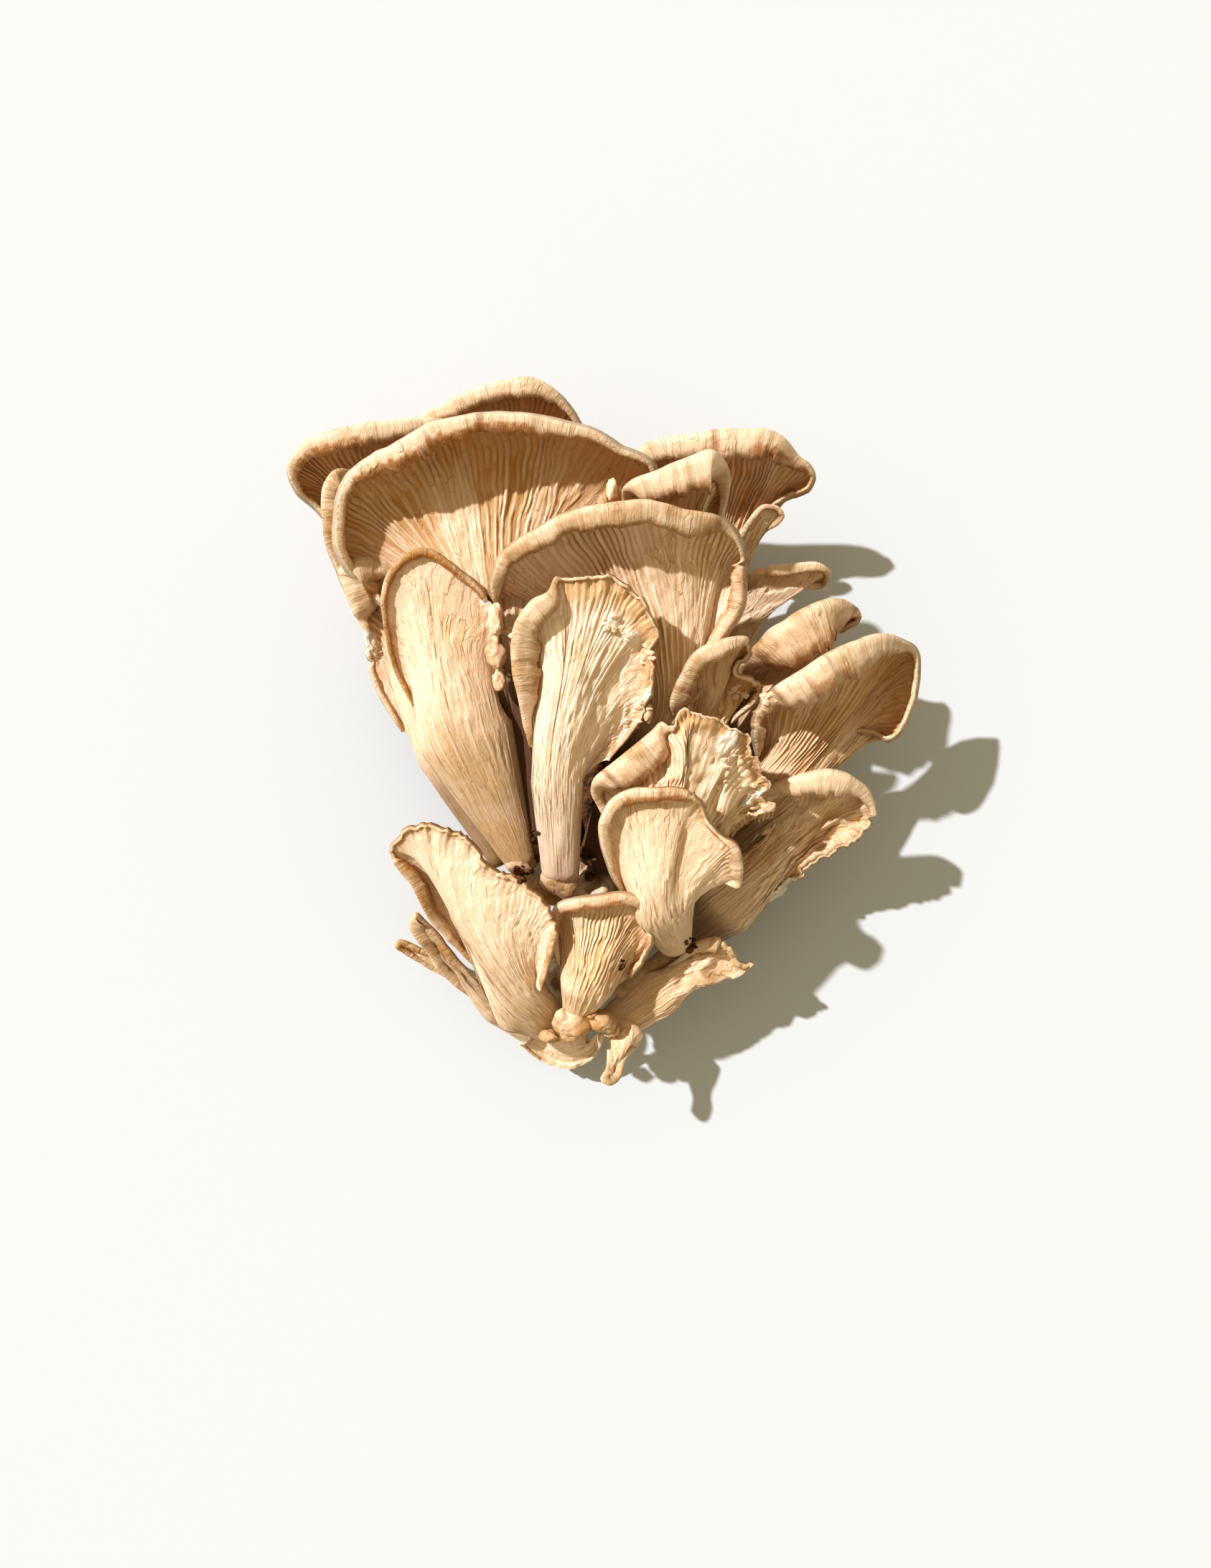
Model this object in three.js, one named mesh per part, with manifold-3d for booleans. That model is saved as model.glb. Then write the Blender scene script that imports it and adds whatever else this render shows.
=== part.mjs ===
import * as THREE from 'three';
import Module from 'manifold-3d';
import { mergeVertices } from 'three/addons/utils/BufferGeometryUtils.js';
import { ConvexGeometry } from 'three/addons/geometries/ConvexGeometry.js';
import { ParametricGeometry } from 'three/addons/geometries/ParametricGeometry.js';

const wasm = await Module();
wasm.setup();

// An oyster mushroom cluster, picked whole and lying on its back, so that most caps turn their gills up.
// Millimetres and degrees, +Z up. X runs across the cluster and Y from its cut base to its widest caps.
// The origin is on the surface that it lies on, below the middle of the whole cluster.

const cornerMerge = 0.01;                  // corners closer than this are one corner
const clearance = 0.35;                    // space kept between two pieces that press together
const facetsAcross = 9;                    // facets from the left side of a cap to its right side
const stemSteps = [0];                     // rings of the stem, as parts of its length
const capSteps = [0, 0.3, 0.65, 1];        // rows of the cap, from the neck to the rolled edge
const rollAngles = [190, 95, 0];           // points round the rolled edge, from under its inner side to outside
const gillSeat = 0.8;                      // how deep the roll sits on the gills, in roll radii
const stemPull = 0.33;                     // how far a rib follows the stem before it spreads, in rib lengths
const flareEnd = 0.6;                      // part of the cap over which the round stem flattens into flesh
const edgeThinning = 0.6;                  // share of the flesh that is gone at the rim
const tangentReach = 0.04;                 // half the stretch of rim that its direction is measured over
const endFade = 0.03;                      // part of the rim over which the roll dies away at each end

// Each fruit body grew as one piece: a stem from foot to neck, and a cap that fans out to its rim.
// rim lists points from the left side, over the far edge, to the right side, as [x, y, z, roll radius].
// flatness is the depth of the stem over its width, rise the slope at which gills meet the rolled edge,
// and reach how much of a rib turns up to it. They are listed from the front of the cluster to its back.
const fruitBodies = {
  centre_stalk: {
    foot: [-9.8, -36.5, 30], neck: [-10.2, -12.5, 42], footRadius: 4.6, neckRadius: 6.4,
    flatness: 0.6, flesh: 4.5, rise: 25, reach: 0.25,
    rim: [[-17, -3.5, 44, 0.5], [-18.5, 2.5, 47, 1], [-19.5, 10, 51, 2.2], [-20.5, 18.5, 55, 2.5],
      [-19.5, 24.5, 58, 2.5], [-16, 29, 60, 2.4], [-12, 31.5, 61, 1.6], [-10, 35, 61, 0.7],
      [-3, 35, 61, 0.6], [2.5, 35.5, 61, 0.6], [8.5, 32, 60, 0.6], [12.5, 27.5, 58, 0.6],
      [15, 22, 56, 0.6], [13, 18, 54, 0.6], [13.5, 12.5, 51, 0.6], [12.5, 6, 48, 0.6], [8.5, 0, 45, 0.5],
      [2.5, -7, 43, 0.5]],
  },
  lower_centre_cap: {
    foot: [19.5, -54, 28], neck: [16, -43.5, 40], footRadius: 4, neckRadius: 7.5,
    flatness: 0.7, flesh: 4, rise: 35, reach: 0.3,
    rim: [[6, -40.5, 40, 0.5], [2.5, -34, 44, 0.8], [0.5, -26.5, 49, 1.5], [0, -21, 52, 2],
      [2.5, -16, 54, 2.1], [8.5, -13.5, 56, 2.2], [14, -13.5, 57, 2.3], [20.5, -14, 56, 2],
      [25, -17, 54, 1], [26, -21.5, 52, 0.6], [29.5, -25, 51, 0.6], [32, -26.5, 51, 1.4],
      [34, -32, 48, 2.2], [33.5, -37.5, 44, 1.8], [28, -36, 42, 0.7], [23, -39.5, 40, 0.5]],
  },
  crumpled_cap: {
    foot: [13, -51, 24], neck: [17, -34.5, 36], footRadius: 5, neckRadius: 8,
    flatness: 0.8, flesh: 3, rise: 15, reach: 0.25,
    rim: [[4.5, -26.5, 38, 0.5], [-1.5, -15.5, 42, 1.2], [-1, -11.5, 46, 2.6], [5.5, -5.5, 50, 3],
      [12, -0.5, 52, 2.6], [14.5, 2, 53, 1.2], [16.5, 1, 56, 0.7], [18.5, 5, 57, 0.7],
      [23.5, 4.5, 57, 0.8], [29, 2, 56, 0.8], [34.5, 0, 54, 0.8], [38, -7, 50, 0.8], [42, -13, 46, 0.9],
      [40, -15.5, 45, 0.6], [42.5, -19, 43, 0.8], [37.5, -20.5, 42, 0.6], [32.5, -22, 41, 0.5],
      [26.5, -29, 38, 0.5]],
  },
  folded_cup: {
    foot: [15, -31.5, 24], neck: [25, -2.5, 36], footRadius: 3.5, neckRadius: 4.5,
    flatness: 0.8, flesh: 2, rise: 60, reach: 0.5,
    rim: [[18.5, 2, 40, 0.6], [17, 6, 45, 1.6], [19, 12, 50, 2], [22.5, 18, 54, 2],
      [27.5, 20.5, 55, 1.8], [34.5, 21.5, 53, 1], [36, 18.5, 49, 0.6], [33.5, 14.5, 46, 0.6],
      [39.5, 12.5, 44, 1.2], [39, 8, 41, 0.6], [32.5, 2, 38, 0.5]],
  },
  centre_fan: {
    foot: [0, -33.5, 20], neck: [15, 5.5, 36], footRadius: 6, neckRadius: 9.5,
    flatness: 0.7, flesh: 3.5, rise: 62, reach: 0.4,
    rim: [[-13.5, 11, 34, 0.5], [-23, 25, 38, 0.6], [-25.5, 32, 43, 1.2], [-25, 37.5, 49, 1.8],
      [-21.5, 42.5, 54, 2.1], [-14, 46.5, 58, 2.3], [-6.5, 50, 60, 2.6], [1.5, 51, 61, 2.8],
      [10.5, 51.5, 61, 2.8], [19, 50.5, 59, 2.6], [27, 49.5, 56, 2.2], [32, 46, 53, 0.9],
      [35, 41, 49, 0.6], [34.5, 37.5, 48, 1.2], [34.5, 31, 46, 1.8], [31, 24.5, 43, 1.6],
      [24.5, 16, 40, 0.6]],
  },
  tongue: {
    foot: [-19.5, -35, 22], neck: [-33, -1, 34], footRadius: 3.4, neckRadius: 11,
    flatness: 0.5, flesh: 5, rise: 25, reach: 0.25,
    rim: [[-47, 7, 32, 0.5], [-51, 15.5, 35, 0.5], [-52, 23, 40, 0.7], [-53, 32, 45, 1],
      [-50.5, 38.5, 48, 1.1], [-45.5, 42.5, 49, 1.1], [-40, 43.5, 49, 1], [-33.5, 39.5, 48, 1],
      [-27, 33.5, 45, 0.8], [-23.5, 28.5, 43, 1.3], [-23.5, 21, 41, 1.1], [-24.5, 12.5, 38, 0.8],
      [-24, 2, 34, 0.5]],
  },
  rolled_tongue: {
    foot: [3, -34, 18], neck: [17, 35, 30], footRadius: 5, neckRadius: 8,
    flatness: 0.8, flesh: 2.5, rise: 45, reach: 0.35,
    rim: [[8, 46.5, 36, 0.5], [5.5, 55, 45, 1], [6, 58, 50, 2.1], [12, 61, 53, 2.6], [20, 63, 55, 3],
      [26.5, 64.5, 55, 3.2], [30.5, 62, 51, 2.1], [31, 56, 42, 0.6], [28, 43.5, 34, 0.5]],
  },
  big_fan: {
    foot: [-16, -31, 20], neck: [-25, 25.5, 34], footRadius: 6, neckRadius: 11,
    flatness: 0.6, flesh: 3.5, rise: 68, reach: 0.42,
    rim: [[-50.5, 30, 28, 0.5], [-60, 37.5, 31, 0.8], [-64, 44, 37, 1.8], [-64, 51.5, 43, 2.2],
      [-61.5, 58, 48, 2.3], [-56.5, 62, 51, 2.6], [-48, 66, 53, 2.9], [-39, 71.5, 54, 2.7],
      [-32.5, 73, 54, 2.2], [-22.5, 74.5, 53, 2], [-12.5, 74, 51, 1.8], [-3.5, 72, 49, 1.2],
      [4.5, 68.5, 46, 0.8], [13, 64.5, 42, 0.6], [11.5, 54, 36, 0.5], [-1, 40, 34, 0.5]],
  },
  right_roll: {
    foot: [13, -38, 16], neck: [42, 7, 26], footRadius: 4.5, neckRadius: 7,
    flatness: 0.8, flesh: 2.5, rise: 55, reach: 0.5,
    rim: [[35, 13, 32, 0.6], [35.5, 18.5, 39, 2.4], [39.5, 23.5, 42, 4.2], [46, 28.5, 43, 4.4],
      [53.5, 32, 42, 4.2], [59, 32.5, 40, 3.2], [64.5, 30.5, 36, 1.6], [65, 28, 33, 0.8],
      [59, 25, 30, 0.6], [56, 20, 27, 0.6], [51, 12, 25, 0.5]],
  },
  right_fan: {
    foot: [17, -42.5, 18], neck: [45.5, -13, 27], footRadius: 5, neckRadius: 9,
    flatness: 0.8, flesh: 3, rise: 60, reach: 0.4,
    rim: [[39.5, -6.5, 32, 0.6], [37.5, 0, 38, 1.6], [38, 6, 43, 2.6], [41.5, 10.5, 47, 3.8],
      [47.5, 14.5, 49, 4.6], [54.5, 19, 49, 4.6], [62, 22, 47, 4], [68.5, 23.5, 44, 2.6],
      [74.5, 22.5, 40, 1.4], [78.5, 20, 36, 0.7], [79, 14.5, 35, 0.5], [78, 7.5, 34, 0.5],
      [73, -1, 32, 0.5], [66.5, 0, 29, 0.5], [60.5, -1.5, 26, 0.5], [55.5, -7.5, 24, 0.5]],
  },
  torn_scoop: {
    foot: [21, -53.5, 14], neck: [32, -43.5, 18], footRadius: 5.5, neckRadius: 10,
    flatness: 0.8, flesh: 3, rise: 45, reach: 0.4,
    rim: [[27.5, -35, 26, 0.5], [31.5, -23, 34, 0.6], [40, -14, 38, 0.8], [46.5, -10.5, 40, 2],
      [53.5, -9, 41, 2.4], [60.5, -9.5, 40, 2.4], [65.5, -12.5, 38, 1.6], [68.5, -17.5, 36, 0.8],
      [69, -22, 34, 0.6], [65, -27, 31, 0.6], [58, -32, 27, 0.5], [51, -38.5, 22, 0.5],
      [45.5, -44.5, 18, 0.5], [39, -49, 16, 0.5]],
  },
  twisted_cap: {
    foot: [11.5, -33, 14], neck: [35.5, 23, 18], footRadius: 3.5, neckRadius: 5,
    flatness: 0.8, flesh: 2, rise: 30, reach: 0.3,
    rim: [[35, 32.5, 22, 0.5], [36.5, 40, 26, 0.8], [41.5, 42.5, 29, 1.2], [48, 43, 30, 1.2],
      [55.5, 43.5, 30, 1], [59, 41.5, 28, 0.7], [58, 38, 25, 0.6], [51.5, 37, 24, 1.4],
      [44, 35, 22, 1.6], [39.5, 29.5, 19, 0.8]],
  },
  right_lobe: {
    foot: [9.5, -33.5, 12], neck: [31.5, 34, 14], footRadius: 3.5, neckRadius: 5,
    flatness: 0.8, flesh: 2, rise: 20, reach: 0.2,
    rim: [[32, 44, 20, 0.5], [37, 54, 26, 0.6], [41.5, 59, 27, 0.6], [46, 59, 26, 0.6],
      [48, 56.5, 25, 0.6], [46.5, 54.5, 24, 0.6], [43, 53, 22, 0.6], [40, 48, 18, 0.5]],
  },
  tucked_cap: {
    foot: [-22, -32, 14], neck: [-56.5, 32, 15], footRadius: 4, neckRadius: 6,
    flatness: 0.8, flesh: 2.5, rise: 60, reach: 0.35,
    rim: [[-65, 33, 20, 0.5], [-67.5, 42, 26, 1], [-69, 48.5, 31, 1.8], [-69.5, 55, 34, 2],
      [-69, 61, 36, 2], [-66.5, 65, 36, 2], [-63, 66, 34, 1.2], [-57.5, 61, 28, 0.8], [-52, 48, 20, 0.5]],
  },
  left_back_cap: {
    foot: [-25, -33, 16], neck: [-39.5, -4.5, 22], footRadius: 4, neckRadius: 8,
    flatness: 0.7, flesh: 3, rise: 35, reach: 0.25,
    rim: [[-51.5, 1, 22, 0.5], [-58.5, 13, 24, 0.6], [-60.5, 21, 25, 0.8], [-62, 28, 27, 1.6],
      [-65, 35, 29, 2.8], [-66, 41.5, 30, 3.2], [-60.5, 45, 31, 3.2], [-53, 44.5, 29, 2.4],
      [-43.5, 41.5, 26, 1.2], [-34.5, 28.5, 24, 0.6], [-31, 12, 23, 0.5]],
  },
  right_top_cap: {
    foot: [6, -34, 14], neck: [29, 39, 6.5], footRadius: 5, neckRadius: 9,
    flatness: 0.8, flesh: 3, rise: 55, reach: 0.4,
    rim: [[12, 53, 22, 0.5], [7, 65.5, 26, 1.2], [9, 71, 31, 2.6], [15, 73.5, 34, 3], [25, 75, 36, 3.2],
      [36.5, 75.5, 37, 3.4], [44.5, 74, 37, 3], [49.5, 70.5, 34, 2.2], [54, 66, 31, 1],
      [53, 62.5, 29, 0.6], [49, 61, 27, 0.5], [44, 58, 24, 0.5], [39.5, 49, 20, 0.5]],
  },
  left_top_cap: {
    foot: [-19.5, -32, 14], neck: [-46, 44.5, 9], footRadius: 5, neckRadius: 8,
    flatness: 0.8, flesh: 3, rise: 55, reach: 0.4,
    rim: [[-67, 50, 20, 0.5], [-74, 59.5, 22, 0.6], [-78, 63, 26, 1], [-79, 67.5, 30, 1.8],
      [-75, 73, 33, 2.4], [-66, 76, 35, 2.8], [-56.5, 78, 35, 2.8], [-46, 79, 34, 2.4],
      [-35.5, 79, 30, 1.6], [-30.5, 67.5, 24, 0.8], [-32, 53.5, 20, 0.5]],
  },
  back_cap: {
    foot: [-14, -31.5, 12], neck: [-25.5, 52.5, 6], footRadius: 5, neckRadius: 8,
    flatness: 0.8, flesh: 3, rise: 55, reach: 0.35,
    rim: [[-41.5, 55, 14, 0.5], [-49.5, 71, 18, 1], [-49, 80, 24, 2], [-41, 84.5, 28, 2.6],
      [-31, 88, 31, 2.8], [-21, 89.5, 32, 2.8], [-14.5, 88.5, 32, 2.4], [-9.5, 85, 30, 1.4],
      [-5.5, 81, 27, 0.8], [-2.5, 74.5, 22, 0.6], [-7, 58.5, 16, 0.5]],
  },
  small_fan: {
    foot: [-6, -71, 27], neck: [-3, -62, 35], footRadius: 3.6, neckRadius: 7,
    flatness: 0.8, flesh: 3, rise: 50, reach: 0.35,
    rim: [[-10, -57.5, 36, 0.5], [-12, -49.5, 38, 0.8], [-10.5, -42.5, 42, 1.7], [-6, -40, 45, 1.9],
      [1, -39, 46, 1.9], [7.5, -39.5, 46, 1.7], [12, -42.5, 44, 0.8], [13, -47, 42, 0.6],
      [12.5, -53.5, 38, 0.5], [8, -61, 35, 0.5]],
  },
  lower_left_cap: {
    foot: [-10, -77, 20], neck: [-19.7, -68.8, 28], footRadius: 4.2, neckRadius: 8,
    flatness: 0.6, flesh: 4.5, rise: 25, reach: 0.3,
    rim: [[-28.5, -64, 24, 0.5], [-36.5, -55, 28, 0.7], [-42, -47, 34, 1.2], [-46.5, -37, 40, 1.3],
      [-50, -32, 43, 1], [-51.5, -28.5, 45, 0.7], [-48, -23.5, 47, 0.6], [-41.5, -21, 48, 0.6],
      [-35, -23, 49, 0.6], [-30.5, -26, 49, 0.7], [-24.5, -31, 49, 1], [-18, -35.5, 48, 1.1],
      [-13, -40, 47, 0.8], [-10, -46, 45, 0.6], [-11.5, -53, 42, 0.6], [-14.5, -64, 36, 0.5]],
  },
  twisted_sprout: {
    foot: [2, -77, 18], neck: [15, -66.5, 22], footRadius: 4.5, neckRadius: 7,
    flatness: 0.8, flesh: 3, rise: 25, reach: 0.3,
    rim: [[13, -62.5, 24, 0.5], [20, -57, 27, 0.7], [24, -52.5, 30, 1.2], [30, -51, 31, 1.8],
      [34, -53.5, 30, 1.6], [36.5, -57, 28, 1.4], [40.5, -58.5, 26, 1], [38, -62, 24, 0.8],
      [30.5, -63.5, 22, 0.7], [21.5, -66.5, 20, 0.5]],
  },
  bottom_sprout: {
    foot: [5, -74, 20], neck: [7, -78.5, 24], footRadius: 4, neckRadius: 4.5,
    flatness: 0.8, flesh: 3, rise: 10, reach: 0.2,
    rim: [[9.5, -80.5, 25, 0.5], [6.5, -83.5, 27, 0.9], [5.5, -87, 28, 1.2], [2.5, -89, 29, 1.3],
      [0, -87.5, 29, 1.2], [1.5, -84.5, 28, 1], [2, -80.5, 26, 0.6]],
  },
  curled_sliver: {
    foot: [-17.5, -79.5, 14], neck: [-27.5, -72, 16], footRadius: 3.2, neckRadius: 4,
    flatness: 0.8, flesh: 2, rise: 30, reach: 0.2,
    rim: [[-34.5, -69, 16, 0.5], [-42, -61, 21, 1.5], [-46, -54, 26, 1.8], [-48, -48.5, 29, 1.8],
      [-46.5, -45, 30, 1.4], [-43.5, -47.5, 29, 1.2], [-37.5, -56.5, 24, 1], [-31, -66, 19, 0.6]],
  },
  thin_sprout: {
    foot: [-18, -79, 10], neck: [-32.5, -68.5, 9], footRadius: 2.6, neckRadius: 3,
    flatness: 0.8, flesh: 2, rise: 10, reach: 0.2,
    rim: [[-37, -67.5, 9, 0.5], [-45.5, -62.5, 11, 0.7], [-52.5, -58, 13, 0.9], [-54.5, -56, 14, 1],
      [-53.5, -54, 14, 1], [-47, -56.5, 13, 0.8], [-40.5, -60, 11, 0.7], [-35, -64.5, 10, 0.5]],
  },
  bottom_shell: {
    foot: [-6, -73, 12], neck: [-9, -78, 12], footRadius: 4.5, neckRadius: 6.5,
    flatness: 0.8, flesh: 3, rise: 10, reach: 0.2,
    rim: [[0.5, -78.5, 16, 0.5], [0, -83, 13, 0.6], [-2.5, -87, 11, 0.7], [-7, -89.5, 10, 0.8],
      [-13, -89, 10, 0.8], [-18, -86.5, 11, 0.8], [-22, -82, 14, 0.7], [-18.5, -78.5, 17, 0.5]],
  },
};

// The stems end on a knobbly base of fused stem butts, and two pins that never opened sit beside them.
const baseLumps = [
  { centre: [-2, -40, 11], radii: [9, 9, 12] },
  { centre: [-10, -34.5, 13], radii: [6, 6, 8] },
  { centre: [8, -41, 13], radii: [8, 8, 9] },
  { centre: [-4, -53, 9], radii: [8.5, 10, 11] },
  { centre: [-7, -66, 9], radii: [9, 9, 11.5] },
];
const pins = {
  left_pin: { centre: [-7.2, -74.2, 29], radii: [4.6, 3.9, 3.8] },
  right_pin: { centre: [0.8, -73.8, 28.8], radii: [3.9, 3.4, 3.6] },
};
const lumpHeight = 0.08;                   // height of the knobs on a lump, as a share of its radius
const baseDetail = 2;                      // how finely a base lump is faceted
const pinDetail = 1;
const lumpTurns = 3;                       // knobs round a lump

const fleshColour = new THREE.Color(0.86, 0.74, 0.56);
const baseColour = new THREE.Color(0.8, 0.68, 0.52);

const right = new THREE.Vector3(1, 0, 0);
const far = new THREE.Vector3(0, 1, 0);
const up = new THREE.Vector3(0, 0, 1);
const radians = THREE.MathUtils.degToRad;
const smooth = (x) => THREE.MathUtils.smoothstep(x, 0, 1);
const vector = (xyz) => new THREE.Vector3(...xyz);
const along = (start, ...steps) => {
  const point = start.clone();
  steps.forEach(([direction, distance]) => point.addScaledVector(direction, distance));
  return point;
};

// The rim as a smooth curve: its point, outward direction and roll radius at any part v of its length.
function rimOf(body) {
  const curve = new THREE.CatmullRomCurve3(body.rim.map(([x, y, z]) => new THREE.Vector3(x, y, z)));
  const radii = body.rim.map((point) => point[3]);
  return (v) => {
    const before = curve.getPointAt(Math.max(0, v - tangentReach));
    const after = curve.getPointAt(Math.min(1, v + tangentReach));
    const outward = new THREE.Vector3(before.y - after.y, after.x - before.x, 0).normalize();
    const place = curve.getUtoTmapping(v) * (radii.length - 1);
    const first = Math.min(Math.floor(place), radii.length - 2);
    const radius = THREE.MathUtils.lerp(radii[first], radii[first + 1], place - first);
    const fade = Math.sqrt(Math.min(1, v / endFade, (1 - v) / endFade));
    return { point: curve.getPointAt(v), outward, radius: radius * fade };
  };
}

// One rib of the gill side, from the foot to the rolled edge, and what its back and its roll need.
function ribOf(body, rimAt, v) {
  const foot = vector(body.foot);
  const neck = vector(body.neck);
  const stem = neck.clone().sub(foot).normalize();
  const face = along(up, [stem, -stem.z]).normalize();
  const side = new THREE.Vector3().crossVectors(stem, face);
  const angle = Math.PI * v;
  const depth = Math.sin(angle) * body.flatness;
  const onStem = (centre, radius) => along(centre, [side, -Math.cos(angle) * radius], [face, depth * radius]);

  const rim = rimAt(v);
  const rise = radians(body.rise);
  const arrive = rim.outward.clone().multiplyScalar(Math.cos(rise)).addScaledVector(up, Math.sin(rise));
  const gillNormal = rim.outward.clone().multiplyScalar(-Math.sin(rise)).addScaledVector(up, Math.cos(rise));
  const rollCentre = along(rim.point, [rim.outward, -rim.radius]);
  const gillEnd = along(rollCentre, [gillNormal, -rim.radius * gillSeat]);
  const start = onStem(neck, body.neckRadius);
  const length = start.distanceTo(gillEnd);
  const rib = new THREE.CubicBezierCurve3(
    start, along(start, [stem, length * stemPull]), along(gillEnd, [arrive, -length * body.reach]), gillEnd);

  const front = [];
  const drops = [];
  stemSteps.forEach((t) => {
    const radius = THREE.MathUtils.lerp(body.footRadius, body.neckRadius, t);
    front.push(onStem(foot.clone().lerp(neck, t), radius));
    drops.push(2 * depth * radius);
  });
  capSteps.forEach((t) => {
    front.push(rib.getPoint(t));
    drops.push(2 * depth * body.neckRadius);
  });
  const roll = rollAngles.map((degrees) => along(
    rollCentre,
    [arrive, rim.radius * Math.cos(radians(degrees))],
    [gillNormal, rim.radius * Math.sin(radians(degrees))]));
  return { front, drops, face, gillNormal, roll };
}

// All ribs of a fruit body, from its left side to its right, each with the line that its back follows.
function ribsOf(body) {
  const rimAt = rimOf(body);
  return Array.from({ length: facetsAcross + 1 }, (_, j) => {
    const rib = ribOf(body, rimAt, j / facetsAcross);
    const side = Math.abs(2 * j / facetsAcross - 1);
    rib.back = rib.front.map((point, i) => {
      const t = i < stemSteps.length ? 0 : capSteps[i - stemSteps.length];
      const normal = rib.face.clone().lerp(rib.gillNormal, t).normalize();
      const flat = smooth(t / flareEnd);
      const flesh = body.flesh * (1 - edgeThinning * t) * Math.sqrt(1 - side ** 8);
      return along(point, [rib.face, -rib.drops[i] * (1 - flat)], [normal, -flesh * flat]);
    });
    return rib;
  });
}

// A closed solid from a geometry: shared corners are merged and faces with no area are dropped.
function solidOf(geometry) {
  geometry.deleteAttribute('normal');
  geometry.deleteAttribute('uv');
  const merged = mergeVertices(geometry, cornerMerge);
  const corners = merged.index.array;
  const triVerts = [];
  for (let i = 0; i < corners.length; i += 3) {
    const [a, b, c] = corners.slice(i, i + 3);
    if (a !== b && b !== c && c !== a) triVerts.push(a, b, c);
  }
  return new wasm.Manifold(new wasm.Mesh({
    numProp: 3, vertProperties: merged.attributes.position.array, triVerts: new Uint32Array(triVerts),
  }));
}

function geometryOf(solid) {
  const mesh = solid.getMesh();
  const geometry = new THREE.BufferGeometry();
  geometry.setAttribute('position', new THREE.BufferAttribute(mesh.vertProperties, 3));
  geometry.setIndex(new THREE.BufferAttribute(mesh.triVerts, 1));
  return geometry;
}

// The skin of a fruit body: up the gill side, round the rolled edge and down the back to the foot again.
function skin(ribs, foot) {
  const columns = ribs.map((rib) => [foot, ...rib.front, ...rib.roll, ...rib.back.toReversed(), foot]);
  const last = columns[0].length - 1;
  const surface = (u, v, target) => target.copy(columns[Math.round(u * facetsAcross)][Math.round(v * last)]);
  return solidOf(new ParametricGeometry(surface, facetsAcross, last));
}

const joined = (solids) => solids.reduce((a, b) => a.add(b));

// A convex block round some points that stands out from them by the clearance.
const spread = (points) => solidOf(new ConvexGeometry(points.flatMap(
  (point) => [-clearance, clearance].flatMap((offset) => [
    along(point, [right, offset]), along(point, [far, offset]), along(point, [up, offset])]))));

// The room that a fruit body needs, as blocks between each two ribs.
function roomOf(ribs) {
  const blocks = [];
  for (let j = 0; j < facetsAcross; j += 1) {
    const pair = [ribs[j], ribs[j + 1]];
    const last = pair[0].front.length - 1;
    for (let i = 0; i < last; i += 1) {
      blocks.push(pair.flatMap((rib) => [rib.front[i], rib.front[i + 1], rib.back[i], rib.back[i + 1]]));
    }
    blocks.push(pair.flatMap((rib) => [rib.front[last], rib.back[last], ...rib.roll]));
  }
  return joined(blocks.map(spread));
}

// Each piece as its own solid, and as the wider room that keeps others clear of it.
function fruitBody(body) {
  const ribs = ribsOf(body);
  return { solid: skin(ribs, vector(body.foot)), room: roomOf(ribs) };
}

// A knobbly egg, its facets as fine as detail says, made wider all round by the margin.
function lump({ centre, radii }, detail, margin = 0) {
  const geometry = new THREE.IcosahedronGeometry(1, detail);
  const corners = geometry.attributes.position;
  const corner = new THREE.Vector3();
  for (let i = 0; i < corners.count; i += 1) {
    corner.fromBufferAttribute(corners, i);
    const knobs = Math.sin(lumpTurns * Math.atan2(corner.y, corner.x) + centre[1]) * Math.cos(2 * corner.z);
    corner.multiplyScalar(1 + lumpHeight * knobs * (1 - corner.z ** 2));
    corner.multiply(vector(radii).addScalar(margin)).add(vector(centre));
    corners.setXYZ(i, corner.x, corner.y, corner.z);
  }
  return solidOf(geometry);
}

// The main body of a solid. Crumbs that hang on it by one corner come loose the second time round.
const mainBody = (solid) => solidOf(geometryOf(solid)).decompose()
  .reduce((a, b) => (a.volume() >= b.volume() ? a : b));

const groundSide = 400;
const ground = solidOf(new THREE.BoxGeometry(groundSide, groundSide, groundSide)
  .translate(0, 0, -groundSide / 2));

const lumps = (list, detail) => ({
  solid: joined(list.map((one) => lump(one, detail))),
  room: joined(list.map((one) => lump(one, detail, clearance))),
});

const pieces = {
  base: lumps(baseLumps, baseDetail),
  ...Object.fromEntries(Object.entries(pins).map(([name, pin]) => [name, lumps([pin], pinDetail)])),
  ...Object.fromEntries(Object.entries(fruitBodies).map(([name, body]) => [name, fruitBody(body)])),
};

// Every piece gives way to those listed before it, so that pressed pieces meet without sharing space.
const cluster = new THREE.Group();
const taken = [];
for (const [name, piece] of Object.entries(pieces)) {
  const cut = taken.reduce((left, room) => left.subtract(room), piece.solid.subtract(ground));
  const solid = mainBody(mainBody(cut));
  taken.push(piece.room);
  const colour = name === 'base' ? baseColour : fleshColour;
  const mesh = new THREE.Mesh(
    geometryOf(solid),
    new THREE.MeshStandardMaterial({ color: colour, roughness: 0.7, metalness: 0 }));
  mesh.name = name;
  cluster.add(mesh);
}

export default cluster;
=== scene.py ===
import math

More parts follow.
